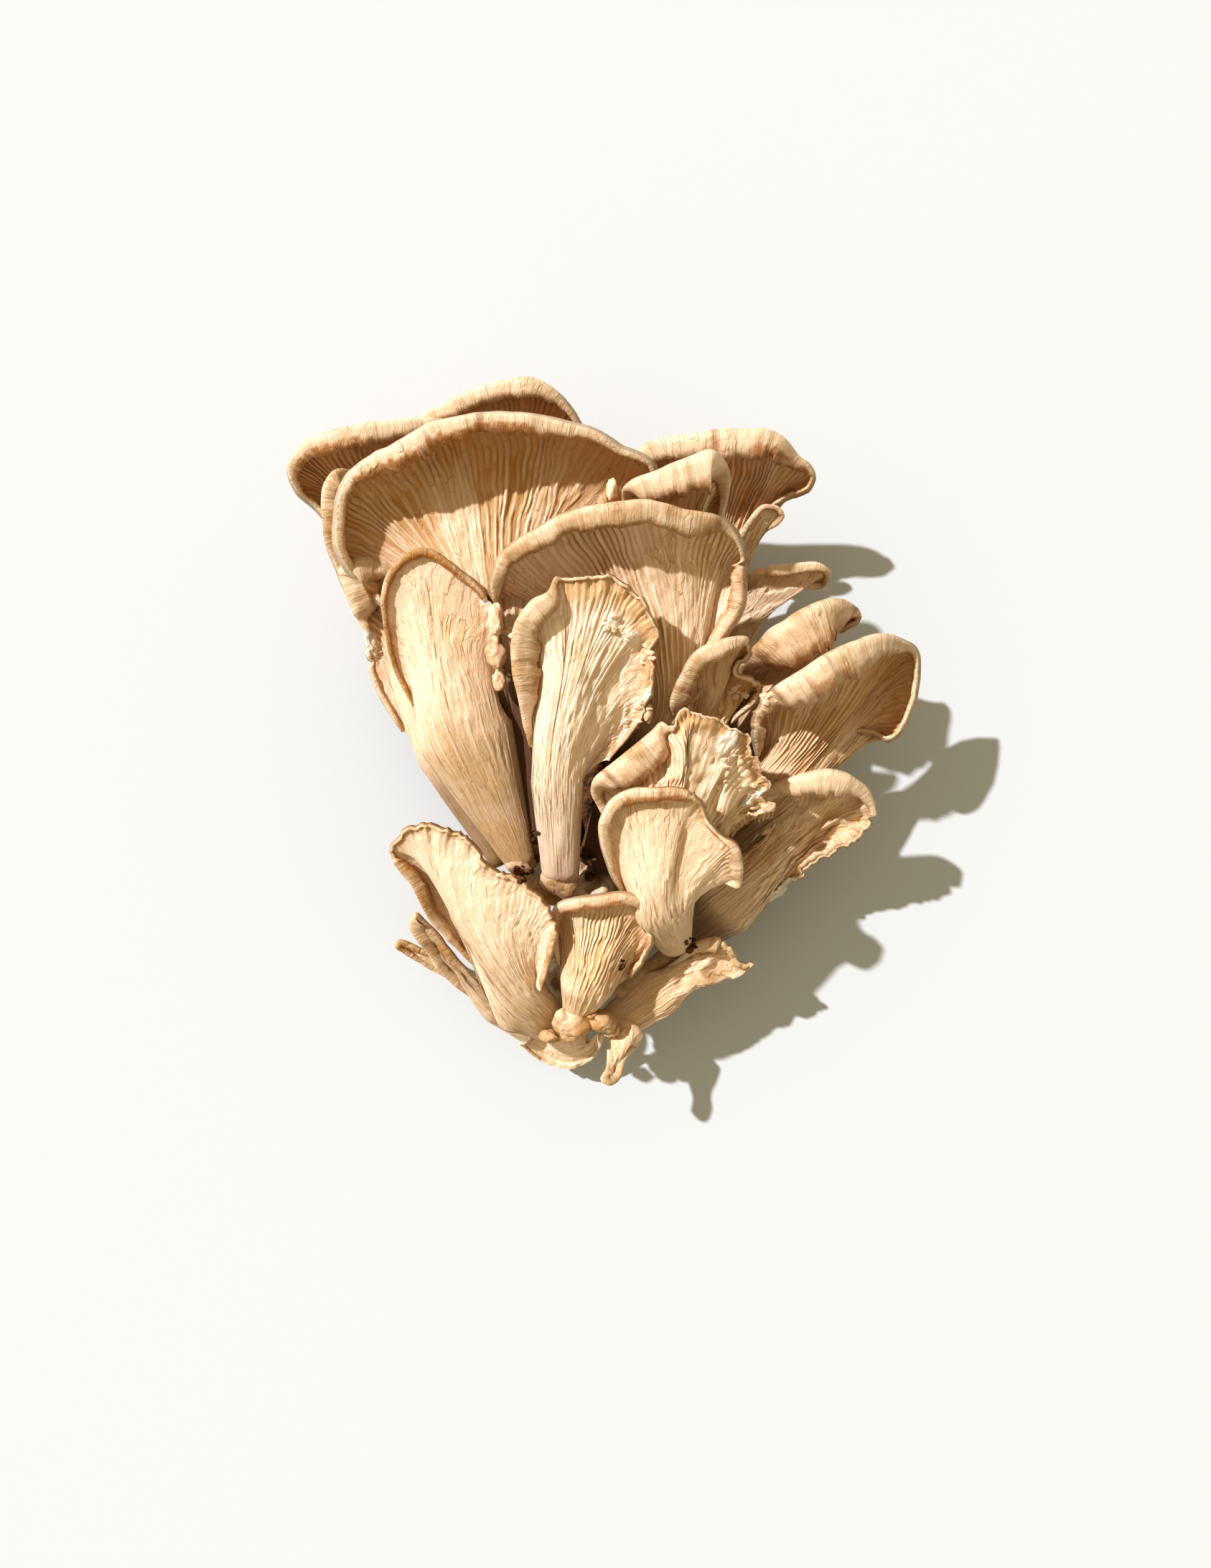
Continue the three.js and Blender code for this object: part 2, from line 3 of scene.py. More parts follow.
import bmesh
import bpy
import numpy as np
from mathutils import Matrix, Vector


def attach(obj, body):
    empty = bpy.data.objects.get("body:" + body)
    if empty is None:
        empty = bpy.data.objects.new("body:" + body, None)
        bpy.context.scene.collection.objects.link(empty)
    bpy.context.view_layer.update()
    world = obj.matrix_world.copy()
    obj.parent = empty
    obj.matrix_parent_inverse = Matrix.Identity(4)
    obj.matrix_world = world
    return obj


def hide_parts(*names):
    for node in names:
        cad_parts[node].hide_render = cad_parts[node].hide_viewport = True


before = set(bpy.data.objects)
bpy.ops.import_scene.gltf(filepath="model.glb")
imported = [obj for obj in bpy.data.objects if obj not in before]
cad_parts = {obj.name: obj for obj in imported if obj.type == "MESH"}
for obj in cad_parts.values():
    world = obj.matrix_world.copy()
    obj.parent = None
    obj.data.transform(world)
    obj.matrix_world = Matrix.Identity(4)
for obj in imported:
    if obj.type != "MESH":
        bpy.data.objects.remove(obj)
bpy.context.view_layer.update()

# An oyster mushroom cluster lying on its back, gills up. Lengths are millimetres until a mesh is made.
MM = 0.001

# The camera looks straight down from a third of a metre. SENSOR is the height of its sensor.
CAMERA_PLACE = (1.5, -12.5, 330)
SENSOR = 36
LENS = 27.2

# Sunlight comes over the upper left, and a warm room fills the shade.
SUN_FROM = (-0.9, 0.6, 1.0)
SUN_STRENGTH = 3.3
SUN_SPREAD = 1.4
SUN_COLOUR = (0.97, 0.965, 1.04)
ROOM_STRENGTH = 0.43
ROOM_COLOUR = (1.0, 0.89, 0.66)

# How a fruit body is meshed. Each takes its own part of the patterns of its finish, and its back another.
STEM_ROWS = 10
CAP_ROWS = 46
ROLL_ROWS = 13
BACK_ROWS = 12
BACK_STEM_ROWS = 5
COLUMNS_PER_GILL = 4
WELD = 1e-6
FIRST_SEED = 100
PATTERN_STEP = 40.0
BACK_PATTERN = 90

# How a fruit body is shaped, as in its solid.
GILL_SEAT = 0.8
STEM_PULL = 0.33
FLARE_END = 0.6
EDGE_THINNING = 0.6
TANGENT_REACH = 0.04
END_FADE = 0.03
FLOOR_GAP = 0.15

# How its rim is worn. It waves and kinks, its roll changes by segments, and torn flaps lift or drop.
WAVE_LENGTH = 9
WAVE_HEIGHT = 0.45
KINK_LENGTH = 2.8
KINK_HEIGHT = 0.1
SEGMENT_LENGTH = 14
FLAP_LENGTH = 3.0
FLAP_HEIGHT = 1.2
TORN_FROM = 0.82

# The roll of the rim turns from the gills over to the back. LIP_LEAN is where its lip hangs over the
# gills, and FLAT_LEAN, at its top, where it is pressed flat, in degrees.
ROLL_TURNS = (240, -40)
LEAST_ROLL = 0.32
LIP_REACH = 0.5
LIP_LEAN = 190
LIP_WIDTH = 26
FLAT_DEPTH = 0.28
FLAT_LEAN = 100
FLAT_WIDTH = 40

# Flakes of worn gills. BLADE_LENGTH is how far a whole gill keeps its height.
FLAKE_HEIGHT = 0.85
FLAKE_WIDTH = 2.4
FLAKE_LENGTH = 5.5
BLADE_LENGTH = 6.5

# Lumps, strands and crumbs. Patches of crumbs lie at PATCH_HEIGHT, as the camera sees them.
BASE_SEED = 7
TURN = 6.28
LUMP_WAVES = 6
STRAND_STEPS = 7
PATCH_HEIGHT = 24
LOWEST_CRUMB = 2

# Fruit bodies. The stem runs from foot to neck, each given as x, y, z and radius, and is flatness times as
# deep as wide. The flesh has a thickness. The rim gives x, y, z and roll radius at points from one side of
# the cap round to the other, and the cap bends to meet it at rise degrees, over reach of the way. Gills lie
# a pitch apart and have a height at the neck, the middle and the rim. Places on the rim are counted in its
# points: tears are first, last and depth, splits middle, depth and half width, whites middle, half width,
# share of the way to the rim and half height, and scorched and peeled stretches first and last. Across the
# cap, from 0 to 1, gilled is first and last and wrinkled_from first. Next to a torn rim, ochre is the share
# that is stained. The other values are strengths of a look, mostly from 0 to 1.
# The dark soil at the foot is compost dirt and partly painted shade in the gaps between stems.
# The darkening of the gills under the rim is painted shade.
# The honey tone is the colour of the flesh, and on bodies lying in shade partly painted shade.
# The pale cream is partly painted light on faces that turn from the sun.
PLAIN_BODY = dict(
    flatness=0.8, flesh=3, rise=55, reach=0.2, pitch=1.6, gilled=(0, 1), ruffle=0.4, wrinkled=0,
    wrinkled_from=0.42, worn=0.4, flaky=1, tears=[], splits=[], whites=[], tan=0.5, pale=0, bare=0,
    ochre=0.12, scorched=[], peeled=[], shade_under_rim=0, soiled_and_shaded=0)
FRUIT_BODIES = {
    "centre_stalk": dict(foot=(-9.8, -36.5, 30, 4.6), neck=(-10.2, -12.5, 42, 6.4), flatness=0.6, flesh=4.5,
        rise=25, reach=0.25, rim=[(-17, -3.5, 44, 0.5), (-18.5, 2.5, 47, 1), (-19.5, 10, 51, 2.2),
        (-20.5, 18.5, 55, 2.5), (-19.5, 24.5, 58, 2.5), (-16, 29, 60, 2.4), (-12, 31.5, 61, 1.6),
        (-10, 35, 61, 0.7), (-3, 35, 61, 0.6), (2.5, 35.5, 61, 0.6), (8.5, 32, 60, 0.6),
        (12.5, 27.5, 58, 0.6), (15, 22, 56, 0.6), (13, 18, 54, 0.6), (13.5, 12.5, 51, 0.6),
        (12.5, 6, 48, 0.6), (8.5, 0, 45, 0.5), (2.5, -7, 43, 0.5)], gills=(0.5, 0.6, 0.5), gilled=(0.35, 1),
        ruffle=0.5, wrinkled=0.7, worn=0.7, flaky=0.55, tears=[(7, 15.6, 1.3)],
        whites=[(9.8, 2.6, 0.79, 0.03), (11.3, 2.4, 0.82, 0.03), (14.6, 2, 0.95, 0.05)], tone=0, tan=0.9,
        pale=0.9, ochre=0.2, scorched=[(6.5, 14)]),
    "lower_centre_cap": dict(foot=(19.5, -54, 28, 4), neck=(16, -43.5, 40, 7.5), flatness=0.7, flesh=4,
        rise=35, reach=0.3, rim=[(6, -40.5, 40, 0.5), (2.5, -34, 44, 0.5), (0.5, -26.5, 49, 1),
        (0, -21, 52, 1.3), (2.5, -16, 54, 1.4), (8.5, -13.5, 56, 1.4), (14, -13.5, 57, 1.5),
        (20.5, -14, 56, 1.3), (25, -17, 54, 0.7), (26, -21.5, 52, 0.5), (29.5, -25, 51, 0.5),
        (32, -26.5, 51, 0.9), (34, -32, 48, 1.4), (33.5, -37.5, 44, 1.2), (28, -36, 42, 0.5),
        (23, -39.5, 40, 0.5)], gills=(0.35, 0.15, 0.8), gilled=(0.6, 1), ruffle=0.5, worn=0.9, flaky=0.6,
        tears=[(7, 9, 1)], tone=0.05, tan=0.6, scorched=[(4, 10)]),
    "crumpled_cap": dict(foot=(13, -51, 24, 5), neck=(17, -34.5, 36, 8), rise=15, reach=0.25,
        rim=[(4.5, -26.5, 38, 0.5), (-1.5, -15.5, 42, 1.2), (-1, -11.5, 46, 2.6), (5.5, -5.5, 50, 3),
        (12, -0.5, 52, 2.6), (14.5, 2, 53, 1.2), (16.5, 1, 56, 0.7), (18.5, 5, 57, 0.7),
        (23.5, 4.5, 57, 0.8), (29, 2, 56, 0.8), (34.5, 0, 54, 0.8), (38, -7, 50, 0.8), (42, -13, 46, 0.9),
        (40, -15.5, 45, 0.6), (42.5, -19, 43, 0.8), (37.5, -20.5, 42, 0.6), (32.5, -22, 41, 0.5),
        (26.5, -29, 38, 0.5)], gills=(0.3, 0.9, 1), pitch=1.7, ruffle=1.8, wrinkled=1.4, wrinkled_from=0,
        worn=0.5, tears=[(6, 16.5, 1.6)],
        whites=[(9.4, 2, 0.9, 0.1), (12.6, 2.2, 0.85, 0.12), (14.5, 2, 0.9, 0.1)], tone=0.1, tan=0.45,
        pale=0.5, ochre=0.15, scorched=[(8, 17)]),
    "folded_cup": dict(foot=(15, -31.5, 24, 3.5), neck=(25, -2.5, 36, 4.5), flesh=2, rise=60, reach=0.5,
        rim=[(18.5, 2, 40, 0.6), (17, 6, 45, 1.6), (19, 12, 50, 2), (22.5, 18, 54, 2), (27.5, 20.5, 55, 1.8),
        (34.5, 21.5, 53, 1), (36, 18.5, 49, 0.6), (33.5, 14.5, 46, 0.6), (39.5, 12.5, 44, 1.2),
        (39, 8, 41, 0.6), (32.5, 2, 38, 0.5)], gills=(0.4, 0.7, 0.6), pitch=1.5, ruffle=0.8,
        tears=[(5, 9, 0.9)], tone=0.3, tan=0.6, shade_under_rim=0.6, soiled_and_shaded=1),
    "centre_fan": dict(foot=(0, -33.5, 20, 6), neck=(15, 5.5, 36, 9.5), flatness=0.7, flesh=3.5, rise=62,
        reach=0.4, rim=[(-13.5, 11, 34, 0.5), (-23, 25, 38, 0.5), (-25.5, 32, 43, 1), (-25, 37.5, 49, 1.4),
        (-21.5, 42.5, 54, 1.7), (-14, 46.5, 58, 1.8), (-6.5, 50, 60, 2.1), (1.5, 51, 61, 2.2),
        (10.5, 51.5, 61, 2.2), (19, 50.5, 59, 2.1), (27, 49.5, 56, 1.8), (32, 46, 53, 0.7),
        (35, 41, 49, 0.5), (34.5, 37.5, 48, 1), (34.5, 31, 46, 1.4), (31, 24.5, 43, 1.3),
        (24.5, 16, 40, 0.5)], gills=(0.6, 1.3, 1.2), pitch=1.8, ruffle=0.5, worn=0.45,
        splits=[(12.4, 1.6, 0.6)], tone=0, tan=0.85, pale=0.8, shade_under_rim=0.1, soiled_and_shaded=1),
    "tongue": dict(foot=(-19.5, -35, 22, 3.4), neck=(-33, -1, 34, 12), flatness=0.5, flesh=5, rise=25,
        reach=0.25, rim=[(-47, 7, 32, 0.5), (-51, 15.5, 35, 0.5), (-52, 23, 40, 0.6), (-53, 32, 45, 0.7),
        (-50.5, 38.5, 48, 0.8), (-45.5, 42.5, 49, 0.8), (-40, 43.5, 49, 0.8), (-33.5, 39.5, 48, 0.8),
        (-27, 33.5, 45, 0.7), (-23.5, 28.5, 43, 0.9), (-23.5, 21, 41, 1), (-24.5, 12.5, 38, 0.8),
        (-24, 2, 34, 0.5)], gills=(0.35, 0.05, 0.1), pitch=2, worn=1, flaky=0.6, tears=[(8, 11.6, 1.4)],
        whites=[(8.4, 2.6, 0.97, 0.05), (10.4, 1.2, 0.97, 0.04)], tone=0.15, tan=1.25, scorched=[(0, 9)]),
    "rolled_tongue": dict(foot=(3, -34, 18, 5), neck=(17, 35, 30, 8), flesh=2.5, rise=45, reach=0.35,
        rim=[(8, 46.5, 36, 0.5), (5.5, 55, 45, 1.2), (6, 58, 50, 2.6), (12, 61, 53, 3.2), (20, 63, 55, 3.8),
        (26.5, 64.5, 55, 4), (30.5, 62, 51, 2.6), (31, 56, 42, 0.8), (28, 43.5, 34, 0.5)],
        gills=(0.4, 0.8, 0.8), pitch=1.5, ruffle=0.3, tone=0.3, shade_under_rim=0.6, soiled_and_shaded=1),
    "big_fan": dict(foot=(-16, -31, 20, 6), neck=(-25, 25.5, 34, 11), flatness=0.6, flesh=3.5, rise=68,
        reach=0.42, rim=[(-50.5, 30, 28, 0.5), (-60, 37.5, 31, 0.7), (-64, 44, 37, 0.9),
        (-64, 51.5, 43, 0.9), (-61.5, 58, 48, 0.8), (-56.5, 62.5, 51, 1.5), (-48, 66.5, 53, 2.6),
        (-39, 71.5, 54, 2.5), (-32.5, 73, 54, 2), (-22.5, 74.5, 53, 1.7), (-12.5, 74, 51, 1.5),
        (-3.5, 72, 49, 1), (4.5, 68.5, 46, 0.7), (13, 64.5, 42, 0.5), (11.5, 54, 36, 0.5),
        (-1, 40, 34, 0.5)], gills=(0.5, 1.25, 1.2), pitch=1.85, ruffle=0.6, worn=0.5, tone=0, tan=0.15,
        pale=0.35, scorched=[(4, 10)], shade_under_rim=0.7, soiled_and_shaded=1),
    "right_roll": dict(foot=(13, -38, 16, 4.5), neck=(42, 7, 26, 7), flesh=2.5, reach=0.5,
        rim=[(35, 13, 32, 0.6), (35.5, 18.5, 39, 2.4), (39.5, 23.5, 42, 4.2), (46, 28.5, 43, 4.4),
        (53.5, 32, 42, 4.2), (59, 32.5, 40, 3.2), (64.5, 30.5, 36, 1.6), (65, 28, 33, 0.8),
        (59, 25, 30, 0.6), (56, 20, 27, 0.6), (51, 12, 25, 0.5)], gills=(0.4, 0.8, 0.8), pitch=1.5,
        tears=[(6.5, 9, 0.8)], tone=0.35, tan=0.8, scorched=[(4, 9)], shade_under_rim=0.6, soiled_and_shaded=1),
    "right_fan": dict(foot=(17, -42.5, 18, 5), neck=(45.5, -13, 27, 9), rise=60, reach=0.4,
        rim=[(39.5, -6.5, 32, 0.5), (37.5, 0, 38, 1.4), (38, 6, 43, 2.2), (41.5, 10.5, 47, 3.2),
        (47.5, 14.5, 49, 3.9), (54.5, 19, 49, 3.9), (62, 22, 47, 3.4), (68.5, 23.5, 44, 2.2),
        (74.5, 22.5, 40, 1.2), (78.5, 20, 36, 0.6), (79, 14.5, 35, 0.5), (78, 7.5, 34, 0.5),
        (73, -1, 32, 0.5), (66.5, 0, 29, 0.5), (60.5, -1.5, 26, 0.5), (55.5, -7.5, 24, 0.5)],
        gills=(0.5, 1.4, 1.3), pitch=1.45, ruffle=0.5, worn=0.3, tears=[(1, 3, 1.2), (12, 14, 0.8)],
        tone=0.4, tan=0.4, peeled=[(3.9, 5.6)], shade_under_rim=0.45, soiled_and_shaded=0.8),
    "torn_scoop": dict(foot=(21, -53.5, 14, 5.5), neck=(32, -43.5, 18, 10), rise=45, reach=0.4,
        rim=[(27.5, -35, 26, 0.5), (31.5, -23, 34, 0.6), (40, -14, 38, 0.8), (46.5, -10.5, 40, 2),
        (53.5, -9, 41, 2.4), (60.5, -9.5, 40, 2.4), (65.5, -12.5, 38, 1.6), (68.5, -17.5, 36, 0.8),
        (69, -22, 34, 0.6), (65, -27, 31, 0.6), (58, -32, 27, 0.5), (51, -38.5, 22, 0.5),
        (45.5, -44.5, 18, 0.5), (39, -49, 16, 0.5)], gills=(0.3, 1.2, 1.3), ruffle=2.2, wrinkled=2,
        wrinkled_from=0.2, worn=0.5, tears=[(7.6, 13, 2)], whites=[(11.5, 5, 0.98, 0.04)], tone=0.25,
        pale=0.4, ochre=0.03, shade_under_rim=0.3, soiled_and_shaded=0.5),
    "twisted_cap": dict(foot=(11.5, -33, 14, 3.5), neck=(35.5, 23, 18, 5), flesh=2, rise=30, reach=0.3,
        rim=[(35, 32.5, 22, 0.5), (36.5, 40, 26, 0.8), (41.5, 42.5, 29, 1.2), (48, 43, 30, 1.2),
        (55.5, 43.5, 30, 1), (59, 41.5, 28, 0.7), (58, 38, 25, 0.6), (51.5, 37, 24, 1.4), (44, 35, 22, 1.6),
        (39.5, 29.5, 19, 0.8)], gills=(0.1, 0.15, 0.15), tone=0.5, bare=0.9, shade_under_rim=0.5, soiled_and_shaded=1),
    "right_lobe": dict(foot=(9.5, -33.5, 12, 3.5), neck=(31.5, 34, 14, 5), flesh=2, rise=20,
        rim=[(32, 44, 20, 0.5), (37, 54, 26, 0.6), (41.5, 59, 27, 0.6), (46, 59, 26, 0.6),
        (48, 56.5, 25, 0.6), (46.5, 54.5, 24, 0.6), (43, 53, 22, 0.6), (40, 48, 18, 0.5)],
        gills=(0.2, 0.5, 0.5), ruffle=0.3, tone=0.8, soiled_and_shaded=1),
    "tucked_cap": dict(foot=(-22, -32, 14, 4), neck=(-56.5, 32, 15, 6), flesh=2.5, rise=60, reach=0.35,
        rim=[(-65, 33, 20, 0.5), (-67.5, 42, 26, 1), (-69, 48.5, 31, 1.8), (-69.5, 55, 34, 2),
        (-69, 61, 36, 2), (-66.5, 65, 36, 2), (-63, 66, 34, 1.2), (-57.5, 61, 28, 0.8), (-52, 48, 20, 0.5)],
        gills=(0.3, 0.9, 0.9), pitch=1.8, tone=0.4, tan=0.8, shade_under_rim=0.6, soiled_and_shaded=1),
    "left_back_cap": dict(foot=(-25, -33, 16, 4), neck=(-39.5, -4.5, 22, 8), flatness=0.7, rise=35,
        reach=0.25, rim=[(-51.5, 1, 22, 0.5), (-58.5, 13, 24, 0.6), (-60.5, 21, 25, 0.8), (-62, 28, 27, 2.6),
        (-65, 35, 29, 4.2), (-66, 41.5, 30, 4.4), (-60.5, 45, 31, 4), (-53, 44.5, 29, 2.4),
        (-43.5, 41.5, 26, 1.2), (-34.5, 28.5, 24, 0.6), (-31, 12, 23, 0.5)], gills=(0.3, 0.3, 0.6), pitch=2,
        ruffle=0.5, flaky=0.5, tears=[(1.5, 3.4, 2)], whites=[(2.4, 3, 0.95, 0.1)], tone=0.15, soiled_and_shaded=0.5),
    "right_top_cap": dict(foot=(6, -34, 14, 5), neck=(29, 39, 6.5, 9), reach=0.4, rim=[(12, 53, 22, 0.5),
        (7, 65.5, 26, 1), (9, 71, 31, 2.2), (15, 73.5, 34, 2.5), (25, 75, 36, 2.7), (36.5, 75.5, 37, 2.9),
        (44.5, 74, 37, 2.5), (49.5, 70.5, 34, 1.9), (54, 66, 31, 0.8), (53, 62.5, 29, 0.5),
        (49, 61, 27, 0.5), (44, 58, 24, 0.5), (39.5, 49, 20, 0.5)], gills=(0.5, 1.3, 1.2), pitch=1.5,
        tears=[(8, 11, 0.5)], tone=0.25, tan=0.35, pale=0.3, scorched=[(5, 12)], shade_under_rim=0.2, soiled_and_shaded=1),
    "left_top_cap": dict(foot=(-19.5, -32, 14, 5), neck=(-46, 44.5, 9, 8), reach=0.4,
        rim=[(-67, 50, 20, 0.5), (-74, 59.5, 22, 0.5), (-78, 63, 26, 0.8), (-79, 67.5, 30, 1.4),
        (-75, 73, 33, 1.8), (-66, 76, 35, 2.1), (-56.5, 78, 35, 2.1), (-46, 79, 34, 1.8),
        (-35.5, 79, 30, 1.2), (-30.5, 67.5, 24, 0.6), (-32, 53.5, 20, 0.5)], gills=(0.4, 1.1, 1.1),
        pitch=1.7, tone=0.5, tan=0.2, scorched=[(1, 6)], shade_under_rim=0.7, soiled_and_shaded=1),
    "back_cap": dict(foot=(-14, -31.5, 12, 5), neck=(-25.5, 52.5, 6, 8), reach=0.35,
        rim=[(-41.5, 55, 14, 0.5), (-49.5, 71, 18, 0.8), (-49, 80, 24, 1.5), (-41, 84.5, 28, 2),
        (-31, 88, 31, 2.1), (-21, 89.5, 32, 2.1), (-14.5, 88.5, 32, 1.8), (-9.5, 85, 30, 1),
        (-5.5, 81, 27, 0.6), (-2.5, 74.5, 22, 0.5), (-7, 58.5, 16, 0.5)], gills=(0.4, 1.1, 1.1), pitch=1.7,
        tone=0.5, tan=0.25, shade_under_rim=0.6, soiled_and_shaded=1),
    "small_fan": dict(foot=(-6, -71, 27, 3.6), neck=(-3, -62, 35, 7), rise=50, reach=0.35,
        rim=[(-10, -57.5, 36, 0.5), (-12, -49.5, 38, 0.8), (-10.5, -42.5, 42, 1.2), (-6, -40, 45, 1.4),
        (1, -39, 46, 1.4), (7.5, -39.5, 46, 1.2), (12, -42.5, 44, 0.8), (13, -47, 42, 0.6),
        (12.5, -53.5, 38, 0.5), (8, -61, 35, 0.5)], gills=(0.5, 1.2, 1.1), pitch=1.4, ruffle=1.4,
        wrinkled=1.3, wrinkled_from=0.55, worn=0.1, flaky=0.35, tears=[(5.4, 8.6, 1.4)], tone=0.4, tan=0.8,
        pale=0.2, scorched=[(1, 5)], shade_under_rim=0.35),
    "lower_left_cap": dict(foot=(-10, -77, 20, 4.2), neck=(-19.7, -68.8, 28, 8), flatness=0.6, flesh=4.5,
        rise=25, reach=0.3, rim=[(-28.5, -64, 24, 0.5), (-36.5, -55, 28, 0.7), (-42, -47, 34, 1.2),
        (-46.5, -37, 40, 1.3), (-50, -32, 43, 1), (-51.5, -28.5, 45, 0.7), (-48, -23.5, 47, 0.6),
        (-41.5, -21, 48, 0.6), (-35, -23, 49, 0.6), (-30.5, -26, 49, 0.7), (-24.5, -31, 49, 1),
        (-18, -35.5, 48, 1.1), (-13, -40, 47, 0.8), (-10, -46, 45, 0.6), (-11.5, -53, 42, 0.6),
        (-14.5, -64, 36, 0.5)], gills=(0.3, 0.25, 0.6), gilled=(0.68, 0.99), ruffle=0.5, worn=0.6,
        flaky=0.55, tears=[(4, 13.5, 1.7)], tone=0.05, tan=1.2, pale=0.2, ochre=0.06, scorched=[(3, 9)]),
    "twisted_sprout": dict(foot=(2, -77, 18, 4.5), neck=(15, -66.5, 22, 7), rise=25, reach=0.3,
        rim=[(13, -62.5, 24, 0.5), (20, -57, 27, 0.7), (24, -52.5, 30, 1.2), (30, -51, 31, 1.8),
        (34, -53.5, 30, 1.6), (36.5, -57, 28, 1.4), (40.5, -58.5, 26, 1), (38, -62, 24, 0.8),
        (30.5, -63.5, 22, 0.7), (21.5, -66.5, 20, 0.5)], gills=(0.5, 0.8, 0.8), pitch=1.5, ruffle=3,
        wrinkled=2.2, wrinkled_from=0, tears=[(3, 8, 1)], tone=0.35),
    "bottom_sprout": dict(foot=(5, -74, 20, 4), neck=(7, -78.5, 24, 4.5), rise=10,
        rim=[(9.5, -80.5, 25, 0.5), (6.5, -83.5, 27, 0.9), (5.5, -87, 28, 1.2), (2.5, -89, 29, 1.3),
        (0, -87.5, 29, 1.2), (1.5, -84.5, 28, 1), (2, -80.5, 26, 0.6)], gills=(0.2, 0.4, 0.3), tone=0.5),
    "curled_sliver": dict(foot=(-17.5, -79.5, 14, 3.2), neck=(-27.5, -72, 16, 4), flesh=2, rise=30,
        rim=[(-34.5, -69, 16, 0.5), (-42, -61, 21, 1.5), (-46, -54, 26, 1.8), (-48, -48.5, 29, 1.8),
        (-46.5, -45, 30, 1.4), (-43.5, -47.5, 29, 1.2), (-37.5, -56.5, 24, 1), (-31, -66, 19, 0.6)],
        gills=(0.2, 0.4, 0.3), ruffle=0.3, tone=0.7, tan=0.9, bare=0.9),
    "thin_sprout": dict(foot=(-18, -79, 10, 2.6), neck=(-32.5, -68.5, 9, 3), flesh=2, rise=10,
        rim=[(-37, -67.5, 9, 0.5), (-45.5, -62.5, 11, 0.7), (-52.5, -58, 13, 0.9), (-54.5, -56, 14, 1),
        (-53.5, -54, 14, 1), (-47, -56.5, 13, 0.8), (-40.5, -60, 11, 0.7), (-35, -64.5, 10, 0.5)],
        gills=(0.1, 0.2, 0.2), ruffle=0.2, tone=0.6, tan=1.2, bare=0.5, scorched=[(1.5, 5.5)]),
    "bottom_shell": dict(foot=(-6, -73, 12, 4.5), neck=(-9, -78, 12, 6.5), rise=10,
        rim=[(0.5, -78.5, 16, 0.5), (0, -83, 13, 0.6), (-2.5, -87, 11, 0.7), (-7, -89.5, 10, 0.8),
        (-13, -89, 10, 0.8), (-18, -86.5, 11, 0.8), (-22, -82, 14, 0.7), (-18.5, -78.5, 17, 0.5)],
        gills=(0, 0, 0), ruffle=1.2, flaky=0.3, tears=[(2, 6, 0.8)], tone=0.4),
}


def smooth(x):
    x = np.clip(x, 0, 1)
    return x * x * (3 - 2 * x)


def unit(vectors):
    return vectors / np.maximum(np.linalg.norm(vectors, axis=-1, keepdims=True), 1e-9)


def patchy(rng, x, y=None):
    """Smooth random hills between -1 and 1, one for each whole step of x and, where it is given, of y."""
    y = x * 0 if y is None else y
    lattice = rng.uniform(-1, 1, (int(np.max(x)) + 3, int(np.max(y)) + 3))
    i = np.floor(x).astype(int)
    j = np.floor(y).astype(int)
    s = smooth(x - i)
    t = smooth(y - j)
    low = lattice[i, j] * (1 - t) + lattice[i, j + 1] * t
    high = lattice[i + 1, j] * (1 - t) + lattice[i + 1, j + 1] * t
    return low * (1 - s) + high * s


def rim_line(points, columns):
    """The rim at equal steps along a smooth line through its points, as rows of x, y, z, roll and place."""
    table = np.array([(*point, place) for place, point in enumerate(points)], float)
    knots = np.concatenate([[0], np.cumsum(np.linalg.norm(np.diff(table[:, :3], axis=0), axis=1) ** 0.5)])
    slopes = np.diff(table, axis=0) / np.diff(knots)[:, None]
    share = (np.diff(knots)[1:] / (knots[2:] - knots[:-2]))[:, None]
    tangents = np.vstack([slopes[:1], slopes[:-1] * share + slopes[1:] * (1 - share), slopes[-1:]])
    at = np.linspace(0, knots[-1], 20 * columns)
    i = np.clip(np.searchsorted(knots, at, side="right") - 1, 0, len(points) - 2)
    span = (knots[i + 1] - knots[i])[:, None]
    t = ((at - knots[i]) / span[:, 0])[:, None]
    line = ((2 * t**3 - 3 * t**2 + 1) * table[i] + (t**3 - 2 * t**2 + t) * span * tangents[i]
            + (3 * t**2 - 2 * t**3) * table[i + 1] + (t**3 - t**2) * span * tangents[i + 1])
    length = np.concatenate([[0], np.cumsum(np.linalg.norm(np.diff(line[:, :3], axis=0), axis=1))])
    even = np.interp(np.linspace(0, length[-1], columns), length, np.arange(len(line)))
    rim = np.stack([np.interp(even, np.arange(len(line)), line[:, k]) for k in range(5)], axis=1)
    return rim, length[-1]


def chips(rng, distance, size):
    """Random levels from 0 to 1, each held for about one size and then dropped for the next."""
    cell = distance / size + 0.3 * patchy(rng, distance / size / 1.7)
    cell = np.maximum(cell, 0)
    levels = rng.uniform(0, 1, int(cell.max()) + 3)
    index = np.floor(cell).astype(int)
    change = smooth((cell - index - 0.8) / 0.2)
    return levels[index] * (1 - change) + levels[index + 1] * change


def stretches(place, pairs, blur):
    """1 inside a stretch, given as first and last, and 0 elsewhere, with blurred ends."""
    inside = np.zeros(len(place))
    for first, last in pairs:
        inside = np.maximum(inside, smooth((place - first) / blur) * smooth((last - place) / blur))
    return inside


